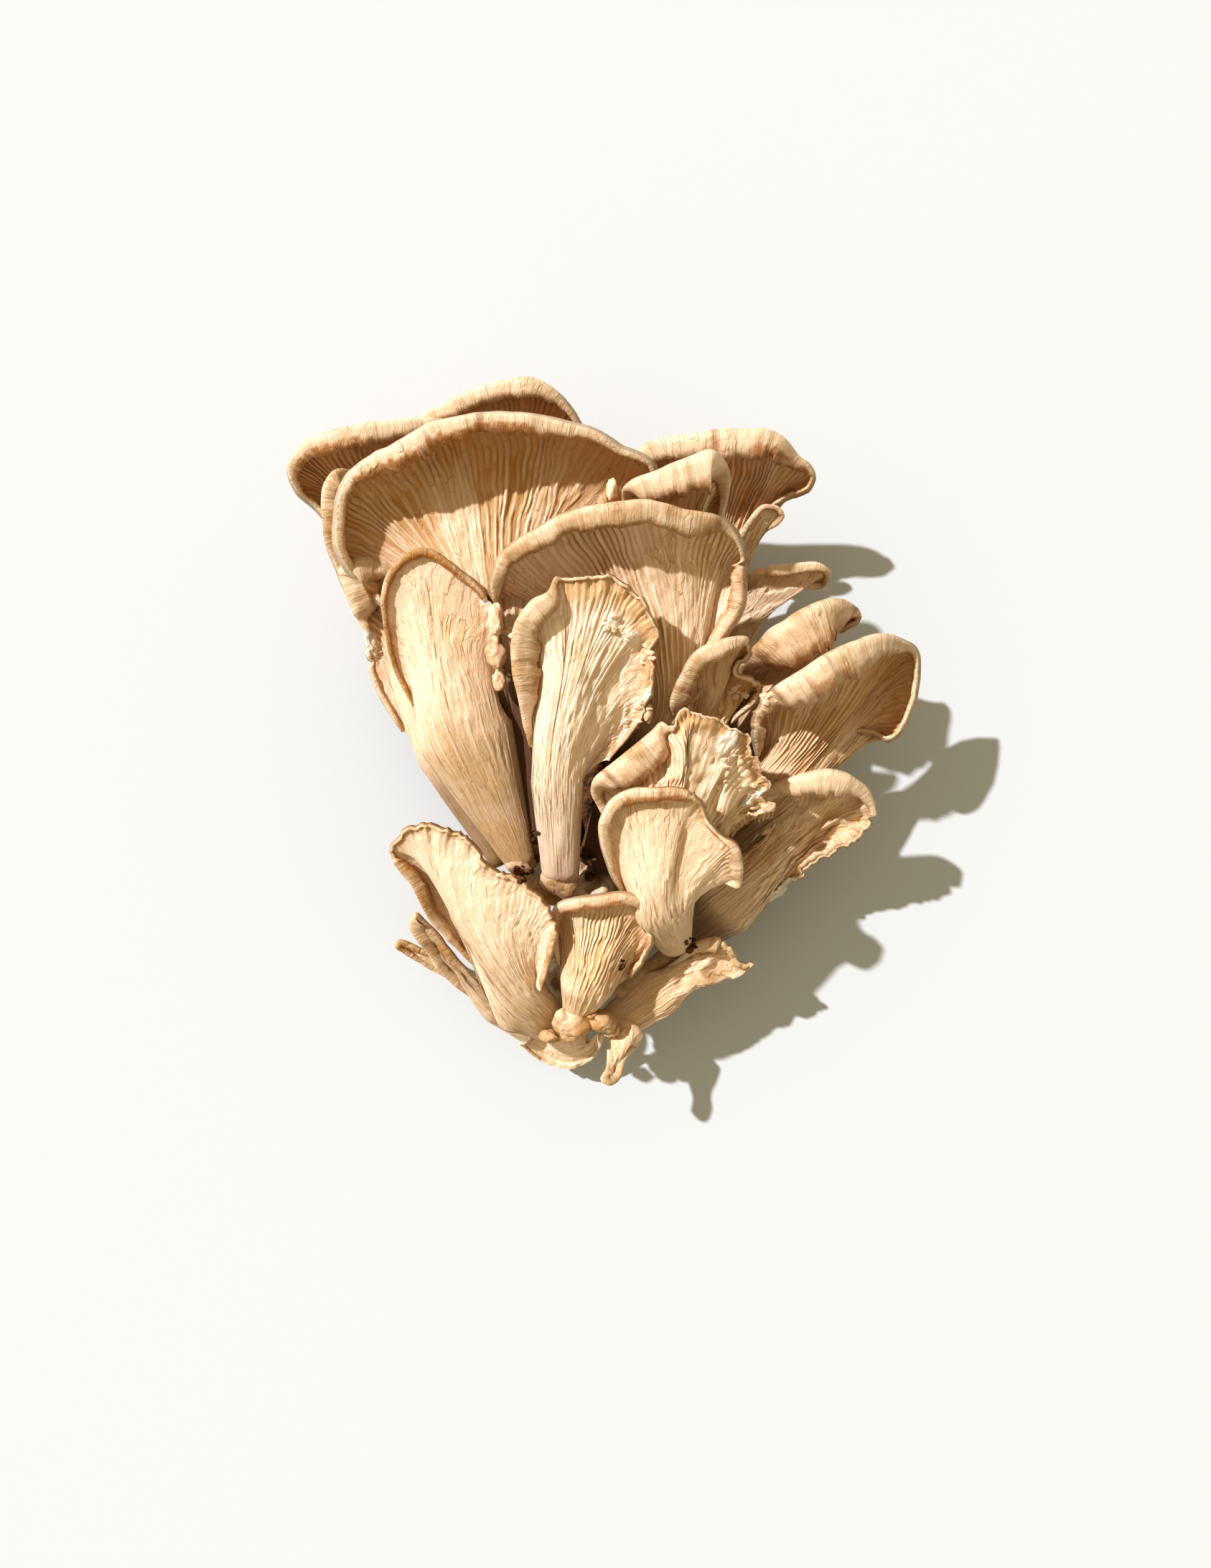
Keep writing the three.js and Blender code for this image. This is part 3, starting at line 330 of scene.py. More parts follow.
def ragged(rng, place, tears, splits, length):
    """How far each column's edge is torn back, in millimetres, and where it is torn."""
    along = np.linspace(0, length, len(place))
    bite = np.zeros(len(place))
    torn = np.zeros(len(place))
    for first, last, depth in tears:
        inside = stretches(place, [(first, last)], 0.3)
        steps = 0.75 * chips(rng, along, 3.4) + 0.35 * chips(rng, along, 1.2)
        bite = np.maximum(bite, inside * depth * steps)
        torn = np.maximum(torn, inside)
    for middle, depth, half_width in splits:
        nearest = np.argmin(np.abs(place - middle))
        away = np.abs(along - along[nearest]) / half_width
        bite = np.maximum(bite, depth * np.clip(1 - away, 0, 1) ** 0.8)
    return bite, torn


def flakes(rng, number, along, width, length, wander):
    """Strips of flakes, each a given number of gills wide: a random level for each flake, and the share of
    the way along it towards the rim."""
    group = (number + 0.5) / width + wander * patchy(rng, along / 6, number / 3)
    strip = np.floor(group).astype(int)
    strip = strip - strip.min()
    starts = rng.uniform(0, 1, strip.max() + 1)
    sizes = length * rng.uniform(0.6, 1.5, strip.max() + 1)
    cell = along / sizes[strip] + starts[strip]
    cell = cell - cell.min()
    row = np.floor(cell).astype(int)
    levels = rng.uniform(0, 1, (strip.max() + 1, row.max() + 1))
    return levels[strip, row], cell - row


def gill_relief(rng, number, along):
    """Height of the gills from 0 in a valley to 1 on a ridge. Short gills start part of the way up, and
    each gill has its own height, which changes along it, and a few breaks."""
    index = np.round(number).astype(int)
    away = np.abs(number - index) * 2
    order = np.arange(int(number.max()) + 2)
    starts = np.where(order % 4 == 0, -1.0, np.where(order % 4 == 2, rng.uniform(0.05, 0.4, len(order)),
                                                    rng.uniform(0.3, 0.8, len(order))))
    present = smooth((along - starts[index]) / 0.1 + 0.5)
    height = 0.85 + 0.3 * rng.uniform(-1, 1, len(order))[index]
    height = height + 0.2 * patchy(rng, along * 9 + 10, index * 1.0)
    for _ in range(2):
        middles = rng.uniform(-0.2, 1.2, len(order))[index]
        height = height * (1 - 0.7 * np.exp(-((along - middles) / 0.022) ** 2))
    blade = np.clip(1 - 1.6 * away**2.6, 0, 1)
    return np.clip(present * blade * height, 0, 1.1)


def slide(points, columns_moved):
    """Moves each point along its row by a part of a column, or by several."""
    columns = points.shape[1]
    at = np.clip(np.arange(columns) + columns_moved, 0, columns - 1)
    low = np.minimum(np.floor(at).astype(int), columns - 2)
    share = (at - low)[..., None]
    rows = np.arange(len(points))[:, None]
    return points[rows, low] * (1 - share) + points[rows, low + 1] * share


def fruit_shape(body, rng):
    """Points of a fruit body, in rows up the gill side, round the roll and down the back to the foot."""
    *foot, foot_radius = body["foot"]
    *neck, neck_radius = body["neck"]
    foot = np.array(foot, float)
    neck = np.array(neck, float)
    _, length = rim_line(body["rim"], 50)
    gills = max(8, int(length / body["pitch"]))
    columns = gills * COLUMNS_PER_GILL + 1
    rim, length = rim_line(body["rim"], columns)
    v = np.linspace(0, 1, columns)
    along_rim = v * length
    place = rim[:, 4]

    # directions
    up = np.array([0.0, 0.0, 1.0])
    stem = unit(neck - foot)
    face = unit(up - stem * stem[2])
    side = np.cross(stem, face)
    half_turn = np.pi * v[:, None]
    across = -np.cos(half_turn) * side
    depth = np.sin(half_turn) * face * body["flatness"]
    reach = max(1, int(TANGENT_REACH * columns))
    padded = np.pad(rim[:, :3], ((reach, reach), (0, 0)), mode="edge")
    tangent = padded[2 * reach:] - padded[:-2 * reach]
    outward = unit(np.stack([-tangent[:, 1], tangent[:, 0], 0 * tangent[:, 0]], axis=1))
    rise = math.radians(body["rise"])
    arrive = outward * math.cos(rise) + up * math.sin(rise)
    gill_normal = -outward * math.sin(rise) + up * math.cos(rise)

    # rim: waves, tears and the roll
    ends = np.clip(np.minimum(v, 1 - v) / END_FADE, 0, 1)[:, None] ** 0.5
    bite, torn = ragged(rng, place, body["tears"], body["splits"], length)
    bite = bite[:, None] * ends
    torn = torn[:, None] * ends
    flap = (chips(rng, along_rim, FLAP_LENGTH)[:, None] - 0.5) * torn
    wave = patchy(rng, along_rim / WAVE_LENGTH)[:, None] * ends
    kinks = patchy(rng, along_rim / KINK_LENGTH)[:, None] * ends
    edge = rim[:, :3] + outward * (WAVE_HEIGHT * wave + KINK_HEIGHT * kinks - bite)
    later_wave = np.roll(wave, columns // 3, axis=0) * ends
    edge = edge + up * (0.5 * later_wave + KINK_HEIGHT * kinks + FLAP_HEIGHT * flap)
    segment = chips(rng, along_rim, SEGMENT_LENGTH)
    turn_of_segment = np.abs(np.gradient(segment))
    joint = (turn_of_segment / max(turn_of_segment.max(), 1e-6))[:, None] ** 2
    joint = joint * smooth((rim[:, 3:4] - 1) / 0.8)
    roll = rim[:, 3:4] * ends * (1 - 0.6 * torn) * (0.9 + 0.25 * segment[:, None])
    roll = np.maximum(roll, LEAST_ROLL * ends)
    roll_centre = edge - outward * roll
    calm_roll = rim[:, 3:4] * ends
    gill_end = rim[:, :3] + outward * (WAVE_HEIGHT * wave - calm_roll)
    gill_end = gill_end - gill_normal * calm_roll * GILL_SEAT
    moved_end = roll_centre - gill_normal * roll * GILL_SEAT - gill_end

    # gill side, smooth
    start = neck + (across + depth) * neck_radius
    rib = gill_end - start
    span = np.linalg.norm(rib, axis=1, keepdims=True)
    pull = start + stem * span * STEM_PULL
    push = gill_end - arrive * span * body["reach"]
    stem_t = np.linspace(0, 1, STEM_ROWS, endpoint=False)
    cap_t = np.linspace(0, 1, CAP_ROWS) ** 0.9

    def stem_ring(t, deep):
        radius = foot_radius + (neck_radius - foot_radius) * t
        return foot + (neck - foot) * t + (across + deep * depth) * radius

    def ribs(t):
        calm = (1 - t)**3 * start + 3 * (1 - t)**2 * t * pull + 3 * (1 - t) * t**2 * push + t**3 * gill_end
        return calm + smooth((t - TORN_FROM) / (1 - TORN_FROM)) * moved_end

    front = np.array([stem_ring(t, 1) for t in stem_t] + [ribs(t) for t in cap_t])
    t_rows = np.concatenate([-1 + stem_t, cap_t])[:, None]
    blend = np.clip(t_rows, 0, 1)[:, :, None]
    normal = unit(face * (1 - blend) + gill_normal[None] * blend)

    # back, from the smooth gill side
    edge_round = np.sqrt(np.clip(1 - np.abs(2 * v - 1)**8, 0, 1))[:, None]
    back_rows = []
    below_neck = np.linspace(-1, 0, BACK_STEM_ROWS, endpoint=False)
    back_t = np.concatenate([below_neck, np.linspace(0, 1, BACK_ROWS)])
    for t in back_t:
        if t < 0:
            back_rows.append(stem_ring(1 + t, -1))
            continue
        flat = smooth(t / FLARE_END)
        direction = unit(face * (1 - t) + gill_normal * t)
        flesh = body["flesh"] * (1 - EDGE_THINNING * t) * edge_round
        back_rows.append(ribs(t) - 2 * depth * neck_radius * (1 - flat) - direction * flesh * flat)
    back = np.array(back_rows)

    # relief of the gill side
    number = np.broadcast_to(v * gills, front.shape[:2])
    t_grid = np.broadcast_to(t_rows, front.shape[:2])
    free = ends[:, 0] * (1 - smooth((t_grid - 0.9) / 0.1)) * smooth((t_grid + 1) / 0.2)
    wander = 0.8 * patchy(rng, t_grid * 4 + 5, number / 5)
    wander = wander + 0.32 * patchy(rng, t_grid * 12 + 13, number / 2.2)
    front = slide(front, wander * COLUMNS_PER_GILL * free)
    relief = gill_relief(rng, number, t_grid)
    low, middle, high = body["gills"]
    amount = np.where(t_grid < 0, low * (1 + t_grid) + low * -t_grid * 0.3,
                      np.where(t_grid < 0.5, low + (middle - low) * t_grid * 2,
                               middle + (high - middle) * (t_grid - 0.5) * 2))
    worn = smooth(patchy(rng, t_grid * 3.3 + 4, number / 9) * 1.3 + 0.2 + 0.6 * body["worn"])
    first_gilled, last_gilled = body["gilled"]
    gilled = smooth((v - first_gilled) / 0.08 + 0.5) * smooth((last_gilled - v) / 0.08 + 0.5)
    worn = np.maximum(worn, 1 - gilled[None, :])
    comb = np.clip(amount, 0, 1) * (1 - 0.45 * worn)
    amount = amount * (1 - 0.85 * worn)
    side_fade = smooth(np.minimum(v, 1 - v) / 0.02)[None, :]
    ripple = patchy(rng, t_grid * 6 + 7, number / 5) * body["ruffle"] * smooth(t_grid / 0.5)
    crease = patchy(rng, t_grid * 14 + 15, number / 3) * body["ruffle"] * smooth(t_grid / 0.3)
    swell = patchy(rng, t_grid * 2.5 + 3, number / 14) * 0.5
    stem_side = smooth((t_grid + 1) / 0.3)
    hills = (ripple * 0.5 + crease * 0.22 + swell) * stem_side
    stem_length = float(np.linalg.norm(neck - foot))
    rib_length = float(np.median(span))
    along_rib = np.where(t_grid < 0, (1 + t_grid) * stem_length, stem_length + t_grid * rib_length)
    level, way = flakes(rng, number, along_rib, FLAKE_WIDTH / body["pitch"], FLAKE_LENGTH, 0.5)
    blade_level, blade_way = flakes(rng, number, along_rib, 1.0, BLADE_LENGTH, 0.0)
    shingled = worn * smooth((t_grid + 0.6) / 0.5) * smooth((1 - t_grid) / 0.06)
    shingle = FLAKE_HEIGHT * (level * 0.6 - 0.6 + 0.6 * way) * shingled * body["flaky"]
    folds = patchy(rng, along_rib / 1.7, number * body["pitch"] / 4.5) * body["wrinkled"]
    folds = folds * smooth((v[None, :] - body["wrinkled_from"]) / 0.1) * smooth((t_grid - 0.1) / 0.3)
    blade_level = 0.3 + 0.5 * blade_level + 0.4 * blade_way
    depth_of_gills = (relief * blade_level - 0.6) * amount

    # torn patches of white flesh, near the rim
    white = np.zeros(t_grid.shape)
    for middle, half_width, level_t, half_t in body["whites"]:
        nearest = np.argmin(np.abs(place - middle))
        away = np.hypot((along_rim - along_rim[nearest])[None, :] / half_width, (t_grid - level_t) / half_t)
        away = away + 0.35 * patchy(rng, along_rib / 1.5, number * body["pitch"] / 1.5)
        white = np.maximum(white, smooth((1.25 - away) / 0.3))
    heap = white * (0.3 + 0.7 * np.abs(patchy(rng, along_rib / 1.2 + 1, number * body["pitch"] / 1.3)))
    height = (hills + depth_of_gills * (1 - white) + shingle + folds * 0.6 + heap * 0.9) * side_fade
    front = front + normal * height[..., None]

    # roll
    turns = np.radians(np.linspace(*ROLL_TURNS, ROLL_ROWS))
    notch = patchy(rng, along_rim / 1.1)
    crack = 0.35 * smooth((notch - 0.6) / 0.3)[:, None] * smooth((roll - 0.8) / 0.8)
    crack = np.maximum(crack, joint)
    lumps = 1 + 0.1 * patchy(rng, along_rim / 4.5)[:, None]
    frayed = 0.5 + 0.8 * chips(rng, along_rim, 2.2)[:, None]
    roll_rows = []
    for turn in turns:
        lean = math.degrees(turn) + body["rise"]
        lip = LIP_REACH * math.exp(-((lean - LIP_LEAN) / LIP_WIDTH) ** 2) * frayed
        flattened = FLAT_DEPTH * math.exp(-((lean - FLAT_LEAN) / FLAT_WIDTH) ** 2)
        size = roll * lumps * (1 + lip - flattened - 0.16 * crack * max(0, math.sin(turn) + 0.3))
        roll_rows.append(roll_centre + arrive * size * math.cos(turn) + gill_normal * size * math.sin(turn))
    roll_rows = np.array(roll_rows)

    # back relief
    back_t_grid = np.broadcast_to(back_t[:, None], back.shape[:2])
    back_hills = (patchy(rng, back_t_grid * 3 + 4, np.broadcast_to(along_rim / 8, back.shape[:2])) * 0.5
                  * side_fade * smooth((1 - back_t_grid) / 0.2) * smooth((back_t_grid + 1) / 0.3))
    back = back + face * back_hills[..., None]

    poles = np.broadcast_to(foot, (1, columns, 3))
    points = np.concatenate([poles, front, roll_rows, back[::-1], poles])
    f = len(front)
    r = len(roll_rows)

    def spread(front_value, roll_value, back_value):
        out = np.zeros((len(points), columns))
        out[1:1 + f] = front_value
        out[1 + f:1 + f + r] = roll_value
        out[1 + f + r:-1] = back_value
        out[0] = out[1]
        out[-1] = out[-2]
        return out

    along_front = t_grid * np.where(t_grid < 0, stem_length, rib_length)
    along_back = (back_t_grid * np.where(back_t_grid < 0, stem_length, rib_length))[::-1]
    roll_along = rib_length + np.linspace(0, 6, r)[:, None] * np.ones(columns)
    scorch = stretches(place, body["scorched"], 0.5)
    leans = np.degrees(turns)[:, None] + body["rise"]
    peel = stretches(place, body["peeled"], 0.15)
    peel = peel * smooth((leans - FLAT_LEAN + 25 * patchy(rng, along_rim / 2)) / 12)
    lip_from = LIP_LEAN - 42 - 36 * scorch + 16 * patchy(rng, along_rim / 1.5)
    lip_side = smooth((leans - lip_from) / 18) * (0.6 + 0.4 * scorch)
    lip_side = np.maximum(lip_side, peel * 0.8)
    white_edge = white[-1:]
    torn_row = torn[:, 0][None]
    ochre = smooth((t_grid - 1 + body["ochre"]) / 0.1)
    # Cracks and joints of the roll, and painted shade on its underside, in the crease where it meets the
    # gills.
    roll_cracks_and_crease_shade = np.maximum(crack[:, 0], turns[:, None] > 3.6)
    # Compost dirt at the stem butts, dark enough to also stand in as painted shade in the gaps between the
    # stems.
    stem_soil_and_shade = body["soiled_and_shaded"] * smooth((0.05 - back_t_grid[::-1]) / 0.35)
    layers = {
        "along": spread(along_front, roll_along, along_back + BACK_PATTERN),
        "across": spread(np.broadcast_to(along_rim, (f, columns)), along_rim[None], along_rim[None]),
        # The valleys between the gills: partly their golden colour, partly painted shade in these recesses.
        "valley": spread((1 - relief) * comb * np.clip(0.35 + blade_level, 0, 1.2), 0.0, 0.0),
        "comb": spread(comb, 0.3, 0.3),
        "skin": spread(body["bare"], 1 - 0.75 * torn_row, 1.0),
        "wound": spread(white, white_edge, white_edge * smooth((back_t_grid[::-1] - 0.9) / 0.1)),
        "stain": spread(torn_row * ochre, np.maximum(0.45 * torn_row, lip_side), 0.5 * torn_row),
        # Painted shade in the crease where the gills meet the roll, and the roll's own cracks.
        "crack": spread(np.exp(-((t_grid - 1) / 0.02) ** 2), roll_cracks_and_crease_shade, 0.0),
        # Painted shade: the gills darken towards an overhanging rim.
        "smoke": spread(smooth((t_grid - 0.45) / 0.45) * body["shade_under_rim"], 0.0, 0.0),
        "soil_and_gap_shade": spread(body["soiled_and_shaded"] * smooth((0.05 - t_grid) / 0.35), 0.0, stem_soil_and_shade),
        "rimward": spread(np.clip(t_grid, -1, 1), 1.0, back_t_grid[::-1]),
    }
    points[..., 2] = np.maximum(points[..., 2], FLOOR_GAP)
    return points, layers


def make_sheet(name, points, layers, material):
    """One closed skin: a grid whose sides meet at the edges of the cap and whose ends meet at the foot."""
    rows, columns, _ = points.shape
    grid = bmesh.new()
    bmesh.ops.create_grid(grid, x_segments=columns - 1, y_segments=rows - 1, size=1)
    mesh = bpy.data.meshes.new(name)
    grid.to_mesh(mesh)
    mesh.vertices.foreach_set("co", (points * MM).astype(np.float32).ravel())
    for layer, values in layers.items():
        kind, field = ("FLOAT_VECTOR", "vector") if values.ndim == 3 else ("FLOAT", "value")
        data = mesh.attributes.new(layer, kind, "POINT").data
        data.foreach_set(field, values.astype(np.float32).ravel())
    grid.clear()
    grid.from_mesh(mesh)
    grid.verts.ensure_lookup_table()
    sides = [grid.verts[row * columns + column] for row in range(rows) for column in (0, columns - 1)]
    ends = [grid.verts[row * columns + column] for row in (0, rows - 1) for column in range(columns)]
    bmesh.ops.remove_doubles(grid, verts=list(set(sides + ends)), dist=WELD)
    bmesh.ops.recalc_face_normals(grid, faces=grid.faces)
    for facet in grid.faces:
        facet.smooth = True
    grid.to_mesh(mesh)
    grid.free()
    return finish_piece(name, mesh, material)


def put(name, data):
    placed = bpy.data.objects.new(name, data)
    bpy.context.scene.collection.objects.link(placed)
    return placed


def finish_piece(name, mesh, material):
    mesh.materials.clear()
    mesh.materials.append(material)
    piece = put(name, mesh)
    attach(piece, "root")
    return piece


class Field:
    """A number or a colour that varies over a surface. Sums written with it add nodes to its finish."""

    def __init__(self, finish, socket):
        self.finish = finish
        self.socket = socket

    def combine(self, operation, *others):
        inputs = dict(enumerate((self, *others)))
        return self.finish.node("ShaderNodeMath", inputs, operation=operation)

    def __add__(self, other):
        return self.combine("ADD", other)

    __radd__ = __add__

    def __sub__(self, other):
        return self.combine("SUBTRACT", other)

    def __rsub__(self, other):
        return self.finish.node("ShaderNodeMath", {0: other, 1: self}, operation="SUBTRACT")

    def __mul__(self, other):
        return self.combine("MULTIPLY", other)

    __rmul__ = __mul__

    def held(self):
        """Held between 0 and 1."""
        made = self.combine("ADD", 0.0)
        made.socket.node.use_clamp = True
        return made

    def over(self, low, high, to_low=0.0, to_high=1.0):
        """Runs smoothly from to_low, where the field is low, to to_high, where it is high."""
        inputs = {"Value": self, "From Min": low, "From Max": high, "To Min": to_low, "To Max": to_high}
        return self.finish.node("ShaderNodeMapRange", inputs, interpolation_type="SMOOTHSTEP")


class Finish:
    """A material, built as a graph of nodes."""

    def __init__(self, name):
        self.material = bpy.data.materials.new(name)
        self.material.use_nodes = True
        self.tree = self.material.node_tree
        self.tree.nodes.clear()

    def node(self, kind, inputs, output=0, **settings):
        made = self.tree.nodes.new(kind)
        for setting, value in settings.items():
            setattr(made, setting, value)
        for key, value in inputs.items():
            if isinstance(value, Field):
                self.tree.links.new(value.socket, made.inputs[key])
            else:
                made.inputs[key].default_value = value
        return Field(self, made.outputs[output])

    def layer(self, name, output="Fac"):
        return self.node("ShaderNodeAttribute", {}, output, attribute_name=name)

    def place(self):
        return self.node("ShaderNodeTexCoord", {}, "Object")

    def stretched(self, vector, scale):
        return self.node("ShaderNodeVectorMath", {0: vector, 1: scale}, operation="MULTIPLY")

    def moved(self, vector, offset):
        return self.node("ShaderNodeVectorMath", {0: vector, 1: offset}, operation="ADD")

    def noise(self, vector, scale, detail=3.0, roughness=0.6):
        inputs = {"Vector": vector, "Scale": scale, "Detail": detail, "Roughness": roughness}
        return self.node("ShaderNodeTexNoise", inputs, "Fac")

    def streaks(self, vector, scale, detail=4.0, roughness=0.6):
        return self.noise(self.stretched(vector, scale), 1.0, detail, roughness)

    def cells(self, vector, output, **settings):
        return self.node("ShaderNodeTexVoronoi", {"Vector": vector, "Scale": 1.0}, output, **settings)

    def blend(self, factor, first, second):
        return self.node("ShaderNodeMix", {0: factor, 6: first, 7: second}, 2, data_type="RGBA")

    def bump(self, height, strength, distance, normal=None):
        inputs = {"Height": height, "Strength": strength, "Distance": distance}
        if normal:
            inputs["Normal"] = normal
        return self.node("ShaderNodeBump", inputs, "Normal")

    def surface(self, inputs):
        shader = self.node("ShaderNodeBsdfPrincipled", inputs, "BSDF")
        output = self.tree.nodes.new("ShaderNodeOutputMaterial")
        self.tree.links.new(shader.socket, output.inputs["Surface"])
        return self.material


def rgb(red, green, blue):
    return (red, green, blue, 1.0)


GILL_CREAM = rgb(0.86, 0.67, 0.49)
GILL_PALE = rgb(0.98, 0.83, 0.665)
GILL_HONEY = rgb(0.80, 0.56, 0.26)
# Golden valley colour, which also serves as painted shade between the gills.
GILL_VALLEY_SHADE = rgb(0.55, 0.295, 0.075)
# The colour of the painted shade on the gills under an overhanging rim.
GILL_IN_SHADE = rgb(0.39, 0.2, 0.05)
SOIL_AND_GAP_SHADE = rgb(0.13, 0.05, 0.02)
CAP_SKIN = rgb(0.79, 0.615, 0.435)
CAP_SKIN_DARK = rgb(0.47, 0.285, 0.12)
TORN_FLESH = rgb(0.93, 0.86, 0.74)
MARGIN = rgb(0.43, 0.19, 0.045)
OCHRE = rgb(0.66, 0.41, 0.19)
# Dark colour of the cracks, also used as painted shade in the crease under the roll.
CRACK_AND_CREASE_SHADE = rgb(0.30, 0.14, 0.05)


def mushroom_finish():
    finish = Finish("oyster_mushroom_flesh")
    rib = finish.layer("rib_place", "Vector")
    place = finish.place()
    names = "valley skin wound stain crack rimward comb tone smoke pale".split()
    valley, skin, wound, stain, crack, rimward, comb, tone, smoke, pale_and_painted_light = map(finish.layer, names)

    # flakes and wrinkles follow the ribs, a little shaken
    shake = finish.node("ShaderNodeTexNoise", {"Vector": place, "Scale": 260.0, "Detail": 2.0}, "Color")
    shaken = finish.moved(rib, finish.stretched(shake, (2.2, 5.0, 0.0)))
    cells = finish.stretched(shaken, (0.55, 0.19, 1.0))
    flake = finish.cells(cells, "Color") + 0.0
    rift = finish.cells(cells, "Distance", feature="DISTANCE_TO_EDGE")
    patches = finish.noise(place, 60.0, 3.0, 0.55)
    flaky = patches.over(0.4, 0.58) * (1.0 - comb * 0.5) * finish.layer("flaky")
    # Thin lines at the flake edges: a dent in the bump, and in colour painted shadow lines.
    flake_edge_dent_and_shade = rift.over(0.0, 0.07, 1.0, 0.0) * flake.over(0.45, 0.6) * flaky

    # gill side: cream, with honey patches towards the foot and by each body's tone, which on bodies lying in
    # shade is partly painted shade, and golden valleys
    streaks = finish.streaks(rib, (1.1, 0.07, 1.0))
    foot = rimward.over(0.4, -0.6, 0.0, 0.42) * (1.0 - pale_and_painted_light * 0.8)
    honey = (patches - 0.54) * 2.6 + (streaks - 0.54) * 1.1 + (flake - 0.6) * 0.5 + tone * 0.3 + foot
    honey = honey.held() * (1.0 - pale_and_painted_light * 0.4)
    # Paler cream, partly painted light on bodies whose faces turn from the sun.
    cream = finish.blend(pale_and_painted_light * rimward.over(-1.1, -0.5), GILL_CREAM, GILL_PALE)
    ridge = finish.blend(honey, cream, GILL_HONEY)
    # Painted shade under the rim, which also deepens the valleys there.
    ridge = finish.blend(smoke * 0.7, ridge, GILL_IN_SHADE)
    # Golden valleys, darkened partly as painted shade in the recesses between the gills.
    gill = finish.blend((valley * (0.6 + smoke * 0.4)).held(), ridge, GILL_VALLEY_SHADE)
    # Painted shadow lines at the flake edges.
    gill = finish.blend(flake_edge_dent_and_shade * 0.6, gill, GILL_VALLEY_SHADE)
    nicks = finish.streaks(shaken, (0.9, 0.6, 1.0), 3.0)
    gill = finish.blend(nicks.over(0.63, 0.68) * (1.0 - comb) * 0.55, gill, MARGIN)
    lines = finish.streaks(rib, (2.2, 0.12, 1.0), 3.0)
    gill = finish.blend(lines.over(0.56, 0.72) * (0.1 + foot * 1.2), gill, GILL_HONEY)
    gill = finish.blend(stain * 0.75, gill, OCHRE)

    # cap skin: pale tan, streaked along the ribs and worn to cream
    skin_streaks = finish.streaks(rib, (1.6, 0.12, 1.0), 4.0, 0.65)
    skin_patches = finish.noise(place, 110.0, 4.0)
    tan = finish.layer("tan")
    dark = ((skin_streaks - 0.53) * 1.3 + (skin_patches - 0.54) * 3.4 + tan * 0.85 - 0.2).held()
    cap = finish.blend(dark, CAP_SKIN, CAP_SKIN_DARK)
    pale = finish.noise(place, 170.0).over(0.48, 0.66) * 0.6
    cap = finish.blend(pale * (1.0 - tan), cap, GILL_CREAM)
    burnt = finish.noise(place, 380.0).over(0.34, 0.54, 0.5, 1.0)
    cap = finish.blend(stain * burnt * 0.85, cap, MARGIN)
    colour = finish.blend(skin, gill, cap)
    # Dark cracks, and painted shade in the crease under the roll.
    colour = finish.blend(crack * 0.6, colour, CRACK_AND_CREASE_SHADE)

    # torn flesh
    fibres = finish.streaks(rib, (2.5, 0.6, 1.0), 4.0, 0.7)
    torn = finish.blend(fibres.over(0.45, 0.8), TORN_FLESH, GILL_CREAM)
    colour = finish.blend(wound.over(0.3, 0.6) * 0.85, colour, torn)
    # Compost dirt at the foot, partly painted shade in the gaps between the stems.
    colour = finish.blend(finish.layer("soil_and_gap_shade") * 0.85, colour, SOIL_AND_GAP_SHADE)

    grain = finish.noise(place, 900.0)
    threads = finish.streaks(rib, (3.2, 0.2, 1.0), 3.0)
    wrinkles = finish.streaks(shaken, (0.8, 0.3, 1.0))
    coarse = wrinkles * 0.45 + flake * flaky * 0.9 - flake_edge_dent_and_shade * 0.35 + skin_patches * skin * 0.6
    fine = threads * (0.07 + comb * 0.3 + foot) + grain * 0.3
    fine = fine + fibres * wound * 0.4 + skin_streaks * skin * 0.9
    normal = finish.bump(fine, 0.6, 0.0006, finish.bump(coarse, 0.6, 0.0013))
    rough = (grain.over(0.3, 0.7, 0.5, 0.66) - skin * 0.1).held()
    return finish.surface({
        "Base Color": colour,
        "Roughness": rough,
        "Normal": normal,
        "Subsurface Weight": 0.22,
        "Subsurface Radius": (1.0, 0.65, 0.3),
        "Subsurface Scale": 0.002,
        "Specular IOR Level": 0.35,
    })


def base_finish():
    finish = Finish("mycelium_and_compost")
    place = finish.place()
    fluff = finish.noise(place, 220.0, 5.0, 0.65)
    dirt = finish.noise(place, 95.0, 4.0)
    colour = finish.blend(dirt.over(0.42, 0.62), rgb(0.80, 0.72, 0.58), rgb(0.30, 0.16, 0.07))
    colour = finish.blend(fluff.over(0.6, 0.75), colour, rgb(0.9, 0.86, 0.78))
    normal = finish.bump(fluff, 0.9, 0.002)
    return finish.surface({"Base Color": colour, "Roughness": 0.85, "Normal": normal})


def crumb_finish():
    finish = Finish("compost_crumb")
    grain = finish.noise(finish.place(), 600.0)
    colour = finish.blend(grain.over(0.35, 0.65), rgb(0.05, 0.025, 0.012), rgb(0.20, 0.09, 0.035))
    normal = finish.bump(grain, 0.8, 0.001)
    return finish.surface({"Base Color": colour, "Roughness": 0.9, "Normal": normal})


def floor_finish():
    finish = Finish("pale_table")
    return finish.surface({"Base Color": rgb(0.598, 0.622, 0.628), "Roughness": 0.9})


def make_fruit_bodies(material):
    for order, (name, special) in enumerate(FRUIT_BODIES.items()):
        body = PLAIN_BODY | special
        rng = np.random.default_rng(FIRST_SEED + order)
        points, layers = fruit_shape(body, rng)
        shape = points.shape[:2]
        along = layers.pop("along")
        across = layers.pop("across")
        layers["rib_place"] = np.stack([across, along, np.full(shape, PATTERN_STEP * order)], axis=2)
        for look in ("tone", "flaky", "tan", "pale"):
            layers[look] = np.full(shape, float(body[look]))
        piece = make_sheet("skin_of_" + name, points, layers, material)
        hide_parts(name)


